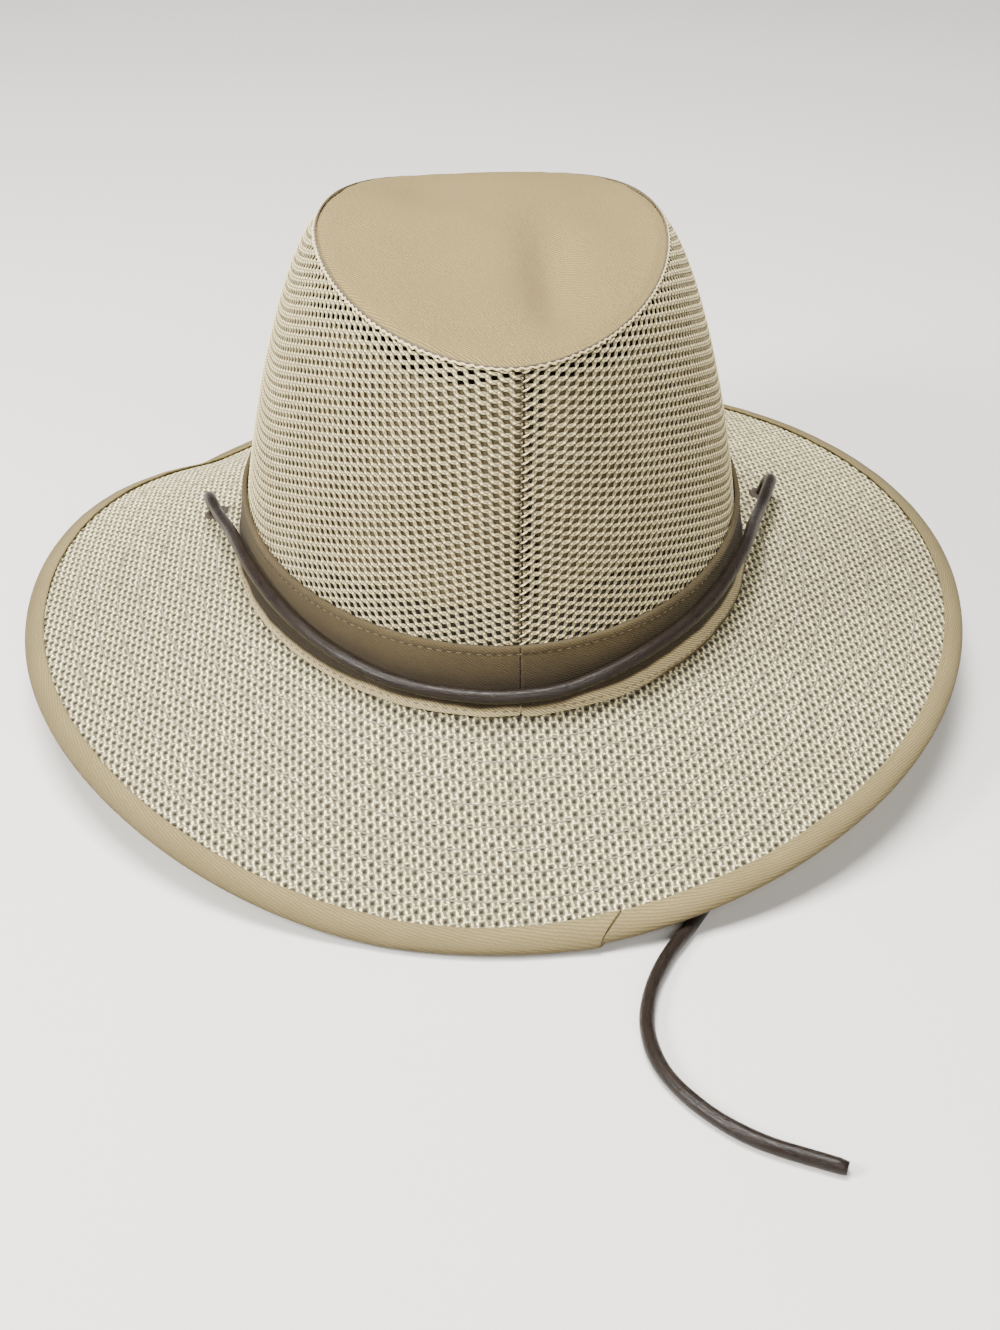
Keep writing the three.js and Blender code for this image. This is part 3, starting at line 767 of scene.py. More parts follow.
class CrownSide:
    """Tables for one side of the crown, +1 the wearer's right. For each level, the angles at equal steps from
    the back seam to the front one. For each angle, the levels at equal steps up the wall."""

    def __init__(self, side):
        sweep = np.linspace(0, 180 + 2 * SWEEP_MARGIN, SWEEP_STEPS)
        sweep = np.radians(-90 - SWEEP_MARGIN * side + side * sweep)
        self.levels = np.linspace(0, 1, TABLE_LEVELS)
        self.angles = np.empty((TABLE_LEVELS, TABLE_STEPS))
        self.arcs = np.empty(TABLE_LEVELS)
        quarter = len(sweep) // 4
        for row, level in enumerate(self.levels):
            points = crown_point(sweep, level)
            seam = SEAM_FOOT + SEAM_LEAN * (points[:, 2] - CROWN_BASE) / CROWN_HEIGHT
            clear = side * (points[:, 0] - seam) - SEAM_GAP / 2
            first = np.interp(0, clear[:quarter], sweep[:quarter])
            last = np.interp(0, -clear[-quarter:], sweep[-quarter:])
            fine = np.linspace(first, last, SWEEP_STEPS)
            along = lengths_along(crown_point(fine, level))
            self.arcs[row] = along[-1]
            self.angles[row] = np.interp(np.linspace(0, along[-1], TABLE_STEPS), along, fine)
        self.turns = np.linspace(sweep[0], sweep[-1], TABLE_STEPS)
        fine = np.linspace(0, 1, CLIMB_STEPS)
        climb = lengths_along(crown_point(self.turns[None], fine[:, None]))
        self.walls = climb[-1]
        steps = np.linspace(0, self.walls, TABLE_LEVELS)
        self.rises = np.array([np.interp(steps[:, k], climb[:, k], fine) for k in range(TABLE_STEPS)])

    def place(self, column, height, inset):
        """The point "column" stitches from the back seam, "height" up the wall and "inset" below its skin,
        and the share of the wall's height. Stitches keep their width near the back seam and draw together
        towards the front. Near NET_TOP the share eases off."""
        column, height, inset = np.broadcast_arrays(column, height, inset)
        level = np.clip(height / CROWN_HEIGHT, 0, 1)
        for _ in range(PLACE_PASSES):
            arc = np.interp(level, self.levels, self.arcs)
            stitch = STITCH * (1 + NET_STRETCH * (np.clip(height, 0, 0.12) - STITCH_HEIGHT))
            surplus = stitch * NET_COLUMNS - arc
            taken = stitch * column - surplus * (np.maximum(column, 0) / NET_COLUMNS) ** NET_GATHER
            angle = between(self.angles, level * (TABLE_LEVELS - 1), taken / arc * (TABLE_STEPS - 1))
            turn = (angle - self.turns[0]) / (self.turns[-1] - self.turns[0]) * (TABLE_STEPS - 1)
            share = height / np.interp(turn, np.arange(TABLE_STEPS), self.walls)
            over = np.maximum(share - (NET_TOP - NET_EASE), 0)
            eased = np.minimum(share, NET_TOP - NET_EASE) + NET_EASE * (1 - np.exp(-over / NET_EASE))
            level = between(self.rises, turn, eased * (TABLE_LEVELS - 1))
        point = crown_point(angle, level) - crown_normal(angle, level) * inset[..., None]
        return point, share


SIDES = {"left": CrownSide(-1), "right": CrownSide(1)}

# One stitch of net, eight places round it from its lower corner: the middle of its strands and the edge of
# its hole in shares of the stitch, and how far each lies below the net's skin. The corners that lie along
# the slant are deep, so that a groove runs on from hole to hole.
NET_STRAND = np.array([
    (0.09, 0.1, 0.0005), (0.47, 0.1, 0.00024), (0.88, 0.14, 0.0), (0.9, 0.5, 0.0003),
    (0.91, 0.9, 0.0005), (0.53, 0.9, 0.00024), (0.12, 0.86, 0.0), (0.1, 0.5, 0.0003),
])
NET_HOLE = np.array([
    (0.21, 0.25, 0.00064), (0.47, 0.26, 0.00052), (0.71, 0.32, 0.00036), (0.77, 0.54, 0.00052),
    (0.79, 0.75, 0.00064), (0.53, 0.74, 0.00052), (0.29, 0.68, 0.00036), (0.23, 0.46, 0.00052),
])
NET_CORNER_DEPTH = 0.00052
NET_ROW_DEPTH = 0.00026
NET_BAR_DEPTH = 0.00034
NET_THICKNESS = 0.0009
NET_HOLE_VARIES = 0.05  # spread of the holes' sizes, of their edges' places and of the depths
NET_EDGE_VARIES = 0.018
NET_DEPTH_VARIES = 0.00003
SEAM_PULL = 0.00035  # how deep the net is pulled in at its seams, and how far from them
SEAM_PULL_WIDTH = 0.0007


def net_height(column, row):
    """Height up the wall of a row of net: it falls away from both seams, steeper and steeper until it levels
    out at the side. The fall is the running sum of the slope over the distance from the nearer seam."""
    away = np.linspace(0, STITCH * NET_COLUMNS / 2, 400)
    level_out = np.clip((away[-1] - away) / (away[-1] - NET_TURN), 0, 1)
    slope = (NET_SLOPE + NET_STEEPENING * away) * level_out**2 * (3 - 2 * level_out)
    fall = running((slope[1:] + slope[:-1]) / 2 * np.diff(away))
    from_seam = STITCH * np.minimum(column, NET_COLUMNS - column)
    return NET_START + row * ROW - np.interp(from_seam, away, fall)


def make_net(name, side):
    """Net as an oblong lattice of stitches. Round each stitch run four loops of eight points, with quads from
    each to the next: its border, shared with its neighbours, the middle of its strands, the edge of its hole,
    and the border again at the back."""
    i, j = np.mgrid[0:NET_ROWS + 1, 0:NET_COLUMNS + 1]
    corners = stack(j, i).astype(float)
    kinds = (
        (corners, NET_CORNER_DEPTH), (corners[:, :-1] + [0.5, 0], NET_ROW_DEPTH),
        (corners[:-1] + [0, 0.5], NET_BAR_DEPTH),
    )
    border = np.concatenate([places.reshape(-1, 2) for places, _ in kinds])
    numbers = []
    for places, _ in kinds:
        first = sum(earlier.size for earlier in numbers)
        numbers.append(first + np.arange(places[..., 0].size).reshape(places.shape[:2]))
    corner_at, row_at, bar_at = numbers
    loop = stack(
        corner_at[:-1, :-1], row_at[:-1], corner_at[:-1, 1:], bar_at[:, 1:],
        corner_at[1:, 1:], row_at[1:], corner_at[1:, :-1], bar_at[:, :-1],
    ).reshape(-1, 8)
    cell = corners[:-1, :-1].reshape(-1, 1, 2)
    cells = len(cell)
    pulled = 1 + rng.normal(0, NET_HOLE_VARIES, (cells, 1, 1))
    opening = cell + 0.5 + (NET_HOLE[:, :2] - 0.5) * pulled + rng.normal(0, NET_EDGE_VARIES, (cells, 8, 2))
    middle = cell + NET_STRAND[:, :2]
    spots = np.concatenate([border, middle.reshape(-1, 2), opening.reshape(-1, 2), border])
    inset = np.concatenate([
        *(np.full(places[..., 0].size, deep) for places, deep in kinds), np.tile(NET_STRAND[:, 2], cells),
        np.tile(NET_HOLE[:, 2], cells), np.full(len(border), NET_THICKNESS),
    ])
    inset[len(border):len(border) + 8 * cells] += rng.normal(0, NET_DEPTH_VARIES, 8 * cells)
    from_seam = np.minimum(spots[:, 0], NET_COLUMNS - spots[:, 0]) * STITCH
    inset = inset + SEAM_PULL * np.exp(-from_seam / SEAM_PULL_WIDTH)
    height = net_height(spots[:, 0], spots[:, 1])
    points, share = SIDES[side].place(spots[:, 0], height, inset)
    kept = (share[loop[:, 1]] < NET_TOP) & (height[loop[:, 5]] > NET_START)
    middle_at = len(border) + np.arange(8 * cells).reshape(-1, 8)
    opening_at = middle_at + 8 * cells
    back_at = len(border) + 16 * cells
    loops = [loop[kept], middle_at[kept], opening_at[kept], loop[kept] + back_at]
    groups = [collar(outer, inner) for outer, inner in zip(loops, loops[1:])]
    groups.append(open_walls(loops[0], back_at))
    # the material paints shade by this depth below the net's face
    depth = np.clip(inset / NET_THICKNESS, 0, 1)
    build_piece(name, points, groups, NET_YARN, ["crown_side_" + side], spots, depth)


LINING_ROWS = 34
LINING_COLUMNS = 90
LINING_END = NET_COLUMNS - 1.2
LINING_FOOT = {  # its height at the back, its rise to the sides and how soon, and its wave
    "right": (0.0325, 0.0055, 14, 0.0012, 23, 0),
    "left": (0.0308, 0.0035, 5, 0.001, 19, 1),
}
LINING_BROW = 0.1005
LINING_TURN = 0.3  # share of the way round where it begins to widen, to these heights
LINING_FAR_BROW = 0.107
LINING_FAR_FOOT = 0.029
LINING_INSETS = (0.00105, 0.00122)


def make_lining(name, side):
    """Thin cloth behind the net, short of the band, of the top and of the back seam: a sheet between four
    uneven edges, each a slow wave."""
    across = np.linspace(0, 1, LINING_COLUMNS)[None]
    up = np.linspace(0, 1, LINING_ROWS)[:, None]
    first = 1.45 + 0.25 * np.sin(up * 9) if side == "right" else 0.2 + 1.6 * np.exp(-up * 5)
    start, rise, soon, swing, waves, phase = LINING_FOOT[side]
    foot = start + rise * (1 - np.exp(-across * soon)) + swing * np.sin(across * waves + phase)
    brow = LINING_BROW + 0.0016 * np.sin(across * 31 + 2) - 0.002 * hump(across, 0.08)
    brow = brow + (LINING_FAR_BROW - brow) * np.clip((across - LINING_TURN) / 0.15, 0, 1)
    foot = foot + (LINING_FAR_FOOT - foot) * np.clip((across - LINING_TURN) / 0.1, 0, 1)
    column = first + (LINING_END - first) * across
    sag = 0.00012 * np.sin(across * 60 + up * 5)
    skins = [SIDES[side].place(column, foot + (brow - foot) * up, inset + sag)[0] for inset in LINING_INSETS]
    points, groups = sheet_solid(*skins)
    build_piece(name, points, groups, LINING, ["crown_side_" + side])


SEAM_THREAD_ROWS = np.arange(2, 35)
SEAM_THREAD_REACH = 0.55  # stitches from the seam to a thread's right end, and the share of that at its left
SEAM_THREAD_SHARE = 0.3
SEAM_THREAD_RISE = 0.0006


def make_seam_threads():
    """Small threads that cross the back and front seams of the net, one to each row."""
    threads = []
    for seam, inner in ((0.0, SEAM_THREAD_REACH), (NET_COLUMNS, -SEAM_THREAD_REACH)):
        height = net_height(seam, SEAM_THREAD_ROWS + 0.5)
        here, _ = SIDES["right"].place(seam + inner, height + SEAM_THREAD_RISE, 0.0002)
        there, _ = SIDES["left"].place(seam + inner * SEAM_THREAD_SHARE, height - SEAM_THREAD_RISE, 0.0003)
        middle = (here + there) / 2
        threads.append((middle, unit(here - there), unit(middle * [1, 1, 0])))
    centres, alongs, ups = (np.concatenate(parts) for parts in zip(*threads))
    stitches("net_seam_threads", centres, alongs, ups, length=0.0026, radius=0.00028, material=NET_THREAD)


EDGE_LINKS = 178
EDGE_STEPS = 6  # steps a link
EDGE_SIDES = 9
EDGE_RADIUS = 0.00038
EDGE_SWELL = 0.0003  # how much a link swells, and how much that varies from link to link
EDGE_SWELL_VARIES = 0.0001
EDGE_SLANT = 0.4  # how far a link leans, in links
EDGE_LEVEL = 0.973
EDGE_SUNK = 0.0001
EDGE_FLATNESS = 0.8
SEAM_LINE_LEVEL = 0.9835
SEAM_LINE_RADIUS = 0.0003


def make_edge_chain():
    """The thick chain of stitches round the top, a round section that swells once a link and leans to one
    side, and above it a thin dark tube in the seam, painted shade for the crease between the net and the top."""
    count = EDGE_LINKS * EDGE_STEPS
    angle = np.linspace(0, 2 * np.pi, 2401)
    lap = lengths_along(crown_point(angle, 0.99))
    angle = np.interp(np.linspace(0, lap[-1], count, endpoint=False), lap, angle)
    phase = np.arange(count)[:, None] / EDGE_STEPS
    turn = circle(EDGE_SIDES)[None]
    slant = (phase + EDGE_SLANT * np.sin(turn)) * 2 * np.pi
    radius = EDGE_RADIUS + (EDGE_SWELL + EDGE_SWELL_VARIES * np.sin(1.7 * phase)) * np.cos(slant)
    upward = unit(crown_point(angle, 0.995) - crown_point(angle, 0.965))[:, None]
    outwards = crown_normal(angle, 0.985)[:, None]
    centre = crown_point(angle, EDGE_LEVEL)[:, None] - outwards * EDGE_SUNK
    section = outwards * np.cos(turn)[..., None] * EDGE_FLATNESS + upward * np.sin(turn)[..., None]
    ring_piece("crown_edge_chain", centre + section * radius[..., None], NET_THREAD)
    # painted shade: a thin dark tube along the seam's crease
    line = tube_points(crown_point(angle[::4], SEAM_LINE_LEVEL), UP, SEAM_LINE_RADIUS, 6)
    ring_piece("crown_edge_seam_shadow", line, SEAM_CREASE_SHADOW)


for net_side in SIDES:
    make_net("crown_net_" + net_side, net_side)
    make_lining("crown_lining_" + net_side, net_side)
make_seam_threads()
make_edge_chain()

# Soft hollows in the top: place, half width and length, depth
TOP_DENTS = [
    (0.0175, -0.046, 0.0095, 0.03, 0.0062),
    (0.0185, -0.01, 0.009, 0.028, 0.0044),
    (-0.017, -0.036, 0.012, 0.026, 0.0018),
    (0.044, 0.022, 0.02, 0.034, 0.0038),
    (-0.018, 0.056, 0.015, 0.03, 0.0052),
]
TOP_RINGS = 26
TOP_SPOKES = 192
TOP_SPACING = 0.85  # below 1, the rings lie closer together at the seam
TOP_LEVEL = 0.99
TOP_UNDER_LEVEL = 0.967
PUCKER_HEIGHT = 0.00012
TURNED_IN = 0.0014  # how deep the edge is turned in at the seam, and over what share of the way
TURNED_IN_SHARE = 0.02


def make_crown_top():
    """The twill top: rings from its middle to the seam, domed, with the soft hollows taken off, slightly
    puckered and turned in where it is sewn."""
    angle = circle(TOP_SPOKES)[None]
    ring = np.linspace(0, 1, TOP_RINGS)[1:, None] ** TOP_SPACING
    seam = crown_point(angle, TOP_LEVEL)
    x = CROWN_SHIFT + (seam[..., 0] - CROWN_SHIFT) * ring
    y = CROWN_LEAN + (seam[..., 1] - CROWN_LEAN) * ring
    dents = 0
    for place_x, place_y, half_width, half_length, deep in TOP_DENTS:
        away = ((x - place_x) / half_width) ** 2 + ((y - place_y) / half_length) ** 2
        dents = dents + deep * np.exp(-away)
    pucker = PUCKER_HEIGHT * np.sin(angle * 31 + 2 * np.sin(angle * 5)) * hump(ring - 0.95, 0.07)
    turned_in = TURNED_IN * hump(ring - 1, TURNED_IN_SHARE)
    z = top_height(x, y) + TOP_DOME * (1 - ring**2) - dents * (1 - ring**4) + pucker - turned_in
    upper = stack(x, y, z)
    middle = np.array([[CROWN_SHIFT, CROWN_LEAN, z[0].mean()]])
    lower = upper - [0, 0, TOP_THICKNESS]
    lower[-1] = crown_point(angle[0], TOP_UNDER_LEVEL)
    points, (fore, rear, _, outer_wall) = sheet_solid(upper, lower, wrap=True)
    half = upper[..., 0].size
    hub = len(points)
    spoke = np.arange(TOP_SPOKES)
    cap = stack(hub, np.roll(spoke, -1), spoke)
    under = stack(hub + 1, spoke + half, np.roll(spoke, -1) + half)
    points = np.concatenate([points, middle, middle - [0, 0, TOP_THICKNESS]])
    build_piece("crown_top_twill", points, [fore, rear, outer_wall, cap, under], TOP_TWILL,
                ["crown_top"], uv=points[:, :2])


make_crown_top()

# Hat band and sweatband

# Rows of the band's section: heights up the crown, and how far the cloth stands off it at some of them
BAND_ROWS = np.array([
    0.0012, 0.0014, 0.0018, 0.0023, 0.0028, 0.0033, 0.0037, 0.0042, 0.0052, 0.007, 0.0095,
    0.0125, 0.015, 0.0172, 0.0186, 0.0194, 0.0198, 0.0202, 0.021, 0.0218, 0.0222,
])
BAND_OUTSIDE = ([0.0012, 0.0028, 0.0037, 0.007, BAND_HEIGHT], [0.0025, 0.0022, 0.0019, 0.00175, 0.0016])
BAND_INSIDE = ([0, 0.003, 0.007, BAND_HEIGHT], [0.0013, 0.001, 0.0005, 0.0004])
BAND_SEAM = math.atan2(-HEAD_HALF_LENGTH, SEAM_FOOT)
BAND_LAP = 0.0003  # thickness of the end on top, how sharply it begins at the seam, and how far it fades
BAND_LAP_STEP = 0.00012
BAND_LAP_FADE = 0.006
BAND_SETTLE = 0.01  # below this height the band follows the brim's slope
BAND_LAP_SEAM = math.atan2(-HEAD_HALF_LENGTH, SEAM_FOOT + 0.0006)
PAINTED_LIP_LIGHT_REACH = 0.0034  # how far up the band the lip's painted light, and the painted shade above it, are moved round the angle below, where the light catches the band's foot
PAINTED_LIP_LIGHT_ANGLE = math.radians(-30)
BAND_THREADS = [  # name, height, distance off the crown
    ("band_hem_threads", 0.0198, 0.00135),
    ("band_lip_threads", 0.0025, 0.00232),
]
BAND_STITCH = 0.003
SWEATBAND_ROWS = 19
SWEATBAND_OUTER = 0.00168  # distances in from the crown's outer side
SWEATBAND_INNER = 0.00285


def off_crown(angle, height, off):
    """A point at a height up the crown's side, "off" outwards in plan."""
    level = height / CROWN_HEIGHT
    return crown_point(angle, level) + crown_heading(angle, level) * np.asarray(off)[..., None]


def onto_brim(angle, height, off):
    """How far a point low on the band drops to follow the brim's slope."""
    return brim_fall(angle) / brim_reach(angle) * off * np.maximum(0, 1 - height / BAND_SETTLE)


def make_hat_band():
    """The band: a closed section of rows {height, distance off the crown} carried round the crown. Its hem is
    rolled, its foot flares, its stitch lines are pressed in, and one end laps over the other at the seam."""
    angle = denser(420, BAND_SEAM, 0.035, 71)
    rows = BAND_ROWS
    hem = 0.00045 * hump(rows - 0.0211, 0.0011) - 0.00045 * hump(rows - 0.0198, 0.0003)
    lip = 0.00015 * hump(rows - 0.0018, 0.0008) - 0.00045 * hump(rows - 0.0038, 0.0005)
    out = (np.interp(rows, *BAND_OUTSIDE) + hem + lip)[None]
    past = (angle - BAND_LAP_SEAM) * HEAD_HALF_WIDTH
    lap = BAND_LAP * step_up(past, BAND_LAP_STEP) * np.exp(-np.maximum(past, 0) / BAND_LAP_FADE)
    groove = -0.0008 * hump(past, 0.00022)
    slack = 0.00014 * np.sin(angle * 17 + 3 * np.sin(angle * 4)) + 0.00007 * np.sin(angle * 41 + rows * 300)
    settled = 1 - 0.75 * np.clip(rows / BAND_HEIGHT, 0, 1)
    outside = out + lap + groove + slack * settled
    inside = np.broadcast_to(np.interp(rows, *BAND_INSIDE)[::-1], outside.shape)
    notched = rows + 0.0011 * hump(past, 0.0008) * np.exp(-rows / 0.0012)
    height = np.concatenate([notched, notched[:, ::-1]], axis=1)
    off = np.concatenate([outside, inside], axis=1)
    points = off_crown(angle, height, off)
    points[..., 2] -= onto_brim(angle, height, off)
    # painted light: round that angle the lip's painted light reaches farther up the band
    wider = PAINTED_LIP_LIGHT_REACH * np.clip((np.cos(angle[:, 0] - PAINTED_LIP_LIGHT_ANGLE) - 0.64) / 0.28, 0, 1)
    ring_piece("hat_band_twill", points, BAND_TWILL, ["hat_band"], wider)


def make_band_threads():
    """Stitching round the band, one run under its hem and one above its lip."""
    angle = np.linspace(0, 2 * np.pi, 4001)
    for name, height, off in BAND_THREADS:
        path = off_crown(angle, height, off)
        path[:, 2] -= onto_brim(angle, height, off)
        along = lengths_along(path)
        count = int(along[-1] / BAND_STITCH)
        spots = np.interp((np.arange(count) + 0.5) / count * along[-1], along, angle)
        centres, ahead = (
            stack(*(np.interp(spots, angle, values[:, k]) for k in range(3)))
            for values in (path, np.gradient(path, axis=0))
        )
        up = crown_heading(spots, height / CROWN_HEIGHT)
        stitches(name, centres, unit(ahead), up, length=0.0023, radius=0.00022, material=KHAKI_THREAD)


def make_sweatband():
    """The band inside: a thin wall close to the crown, its foot folded under a soft bead."""
    angle = np.linspace(-np.pi, np.pi, 240, endpoint=False)[:, None]
    rows = np.linspace(0, SWEATBAND_HEIGHT, SWEATBAND_ROWS)
    swell = 0.00018 * hump(rows - 0.0012, 0.001) - 0.00012 * hump(rows - 0.0034, 0.0004)
    height = np.concatenate([rows, rows[::-1]])[None]
    inset = np.concatenate([np.full(SWEATBAND_ROWS, SWEATBAND_OUTER), (SWEATBAND_INNER + swell)[::-1]])
    points = off_crown(angle, height, -(inset + 0.00006 * np.sin(angle * 29)))
    ring_piece("sweatband_cloth", points, SWEAT_TWILL, ["sweatband"])


make_hat_band()
make_band_threads()
make_sweatband()

# Brim: knit in two halves, rings of thread, binding and eyelets

WALE = 0.00205  # width of one rib of the knit
COURSE = 0.00406  # length of one stitch
COURSE_SHORTENING = 1.7  # stitches shorten towards the front and the back, by three times this and y squared
KNIT_HALF_WIDTH = 0.17  # the lattice's reach, before the brim's shape is cut from it
KNIT_HALF_LENGTH = 0.2
ZIGZAG = 0.0003
BRIM_THREADS = [0.0095, 0.016, 0.0225, 0.03, 0.0372, 0.0446, 0.052, 0.0605]
KNIT_HALF = 0.0008
PIT_Y = 0.003
EYELET_SEAT = EYELET_RADIUS - 0.0005  # the knit ends this far from the middle of an eyelet
GRIP_START = 0.0712  # the binding grips the knit from here, and fully after GRIP_EASE
GRIP_EASE = 0.002
KNIT_START = -0.003  # first and last places down the brim where there is knit
KNIT_END = BRIM_WIDTH - 0.0016
KNIT_WIDTH_VARIES = 0.07  # spread of the hollows' widths, and of the places of their edges
KNIT_X_VARIES = 0.00003
KNIT_Y_VARIES = 0.00004
RIB_DEPTH = 0.00004  # how far the line between two ribs lies below the face, and half its rise and fall
RIB_SWING = 0.00007
SHADE_DEPTH = 0.0009  # depth that the material reads as 1, its fullest painted shade
FRONT_SHADE = 0.2  # by how much less painted shade the hollows get towards the front

# One stitch of knit: the edge of its hollow, a narrow stem below and a wide pit above, as across, along and
# depth below the face
KNIT_HOLLOW = np.array([
    (-0.00022, 0.0005, 0.00028), (0, 0.00034, 0.00025), (0.00022, 0.0005, 0.00028),
    (0.00023, 0.0013, 0.00032), (0.00025, 0.0023, 0.00036), (0.0006, 0.00258, 0.00038),
    (0.00036, 0.00314, 0.0005), (0, 0.00366, 0.00046), (-0.00036, 0.00314, 0.0005),
    (-0.0006, 0.00258, 0.00038), (-0.00025, 0.0023, 0.00036), (-0.00023, 0.0013, 0.00032),
])
PIT_FLOOR_Y = 0.00304
PIT_DEPTH = 0.0009


def eyelet_frame(name):
    """The middle of an eyelet on the brim, and its directions round, outwards and up."""
    degrees, down = EYELETS[name]
    angle = math.radians(degrees)
    middle = brim_point(angle, down, 0.0)
    round_it = unit(brim_point(angle + 0.01, down, 0.0) - middle)
    outwards = unit(brim_point(angle, down + 0.001, 0.0) - middle)
    return middle, round_it, outwards, unit(np.cross(outwards, round_it))


def knit_surface(x, y, lift, relief):
    """A point of the knit over a place in plan, and its distance down the brim: "lift" is its height in the
    cloth, from -1 at the back to 1 at the face, and "relief" its depth below the face. Rings of thread press
    the cloth thinner, the binding grips it, and the eyelets' holes push it aside."""
    for name in EYELETS:
        middle = eyelet_frame(name)[0]
        away = np.hypot(x - middle[0], y - middle[1])
        pushed = np.where(away < EYELET_SEAT, EYELET_SEAT / np.maximum(away, 1e-6), 1.0)
        x = middle[0] + (x - middle[0]) * pushed
        y = middle[1] + (y - middle[1]) * pushed
    angle, down = brim_place(x, y)
    pressed = sum(hump(down - ring, 0.0007) for ring in BRIM_THREADS)
    gripped = np.clip((down - GRIP_START) / GRIP_EASE, 0, 1)
    half = KNIT_HALF - 0.00016 * pressed * (lift > 0) - 0.00025 * gripped
    points = brim_point(angle, down, half * lift - relief * (1 - 0.5 * pressed) * (1 - gripped))
    points[..., 0] = x
    points[..., 1] = y
    return points, down


def knit_lattice(side):
    """One half's lattice of stitches in upright ribs, each rib half a stitch on from the last: the places of
    its lines and middles, the loop of twelve round each stitch, and the stitch's own middle and foot."""
    rows = int(KNIT_HALF_LENGTH / COURSE) * 2
    columns = int(KNIT_HALF_WIDTH / WALE)
    first = 0 if side == "right" else -columns
    # the line between two ribs' hollows, at quarter steps of a stitch, which zigzags
    quarter = np.arange(-2 * rows, 2 * rows + 1)
    c, q = np.meshgrid(np.arange(first, first + columns + 1), quarter, indexing="ij")
    y_line = q * COURSE / 4
    phase = 2 * np.pi * (y_line - PIT_Y) / COURSE + np.pi * c
    x_line = (c - 0.5) * WALE - ZIGZAG * np.cos(phase)
    line_at = np.arange(c.size).reshape(c.shape)
    # the stitches of a rib start at every fourth quarter step, in odd ribs two steps on
    k = np.arange(columns)[:, None]
    foot = np.arange(4, 4 * rows - 4, 4)[None] + (first + k) % 2 * 2
    x_middle, y_foot = np.broadcast_arrays((first + k) * WALE, quarter[foot] * COURSE / 4)
    middle_at = c.size + np.arange(foot.size).reshape(foot.shape)
    left, right = ([line_at[k + more, foot + step][:, :-1] for step in range(5)] for more in (0, 1))
    loop = stack(left[0], middle_at[:, :-1], *right, middle_at[:, 1:], *left[:0:-1]).reshape(-1, 12)
    x = np.concatenate([x_line.ravel(), x_middle.ravel()])
    y = np.concatenate([y_line.ravel(), y_foot.ravel()])
    return x, y, loop, x_middle[:, :-1].reshape(-1, 1), y_foot[:, :-1].reshape(-1, 1)


def make_knit(name, side):
    """Knit as a lattice of stitches. Round each stitch run two loops of twelve points: its border, down the
    middles of the ribs, and the edge of its hollow. The hollow is closed by the stem's floor and by a fan to
    the pit's floor."""
    x_line, y_line, loop, x_middle, y_foot = knit_lattice(side)
    cells = len(loop)
    lines = len(x_line)
    uneven = 1 + rng.normal(0, KNIT_WIDTH_VARIES, (cells, 1))
    x_edge = x_middle + KNIT_HOLLOW[:, 0] * uneven + rng.normal(0, KNIT_X_VARIES, (cells, 12))
    y_edge = y_foot + KNIT_HOLLOW[:, 1] + rng.normal(0, KNIT_Y_VARIES, (cells, 12))
    edge_at = lines + np.arange(12 * cells).reshape(-1, 12)
    floor_at = lines + 12 * cells + np.arange(cells)
    back_at = lines + 13 * cells
    x = np.concatenate([x_line, x_edge.ravel(), x_middle.ravel(), x_line])
    y = np.concatenate([y_line, y_edge.ravel(), y_foot.ravel() + PIT_FLOOR_Y, y_line])
    y = y - COURSE_SHORTENING * y**3
    line_depth = RIB_SWING * (1 + np.cos(4 * np.pi * y_line / COURSE)) + RIB_DEPTH
    deep = np.concatenate([
        line_depth, np.tile(KNIT_HOLLOW[:, 2], cells), np.full(cells, PIT_DEPTH), np.zeros(lines),
    ])
    lift = np.concatenate([np.ones(back_at), -np.ones(lines)])
    points, down = knit_surface(x, y, lift, deep)
    ring = down[loop]
    kept = (ring.min(1) > KNIT_START) & (ring.max(1) < KNIT_END)
    for eyelet in EYELETS:
        middle = eyelet_frame(eyelet)[0]
        kept &= np.hypot(x[loop] - middle[0], y[loop] - middle[1]).max(1) > EYELET_SEAT
    loop, edge_at, floor_at = loop[kept], edge_at[kept], floor_at[kept]
    stem = np.concatenate([edge_at[:, [0, 2, 3, 11]], edge_at[:, [11, 3, 4, 10]]])
    pit = edge_at[:, 4:11]
    fan = stack(pit, np.roll(pit, -1, 1), floor_at[:, None]).reshape(-1, 3)
    rim, walls, back = collar(loop, edge_at), open_walls(loop, back_at), loop[:, ::-1] + back_at
    groups = [rim, stem, walls, edge_at[:, :3], fan, back]
    # painted shade: each point's depth for the material, eased off towards the front
    shade = np.clip(deep / SHADE_DEPTH, 0, 1) * (1 - FRONT_SHADE * np.clip((y + 0.01) / 0.09, 0, 1))
    build_piece(name, points, groups, KNIT_YARN, ["brim"], stack(x, y), shade)


for knit_side in ("left", "right"):
    make_knit("brim_knit_" + knit_side, knit_side)

BRIM_STITCH = 0.0032
BRIM_STITCH_STEPS = 3
BRIM_THREAD_RADIUS = 0.00031
BRIM_THREAD_SUNK = 0.00042  # how far below the knit's face its middle lies, and how far it rises in a stitch
BRIM_THREAD_RISE = 0.00012


def make_brim_threads():
    """The rings of stitching on the brim: a thread whose height falls into the cloth once a stitch."""
    fine = np.linspace(0, 2 * np.pi, 4001)
    for number, down in enumerate(BRIM_THREADS):
        along = lengths_along(brim_point(fine, down, 0.0))
        steps = int(along[-1] / BRIM_STITCH) * BRIM_STITCH_STEPS
        angle = np.interp(np.linspace(0, along[-1], steps, endpoint=False), along, fine)
        rise = BRIM_THREAD_RISE * np.abs(np.sin(np.pi * (np.arange(steps) / BRIM_STITCH_STEPS)))
        wander = 0.00008 * np.sin(angle * 23 + number)
        path = brim_point(angle, down + wander, KNIT_HALF - BRIM_THREAD_SUNK + rise)
        points = tube_points(path, UP, BRIM_THREAD_RADIUS, 5)
        ring_piece(f"brim_thread_{number}", points, GREY_THREAD)


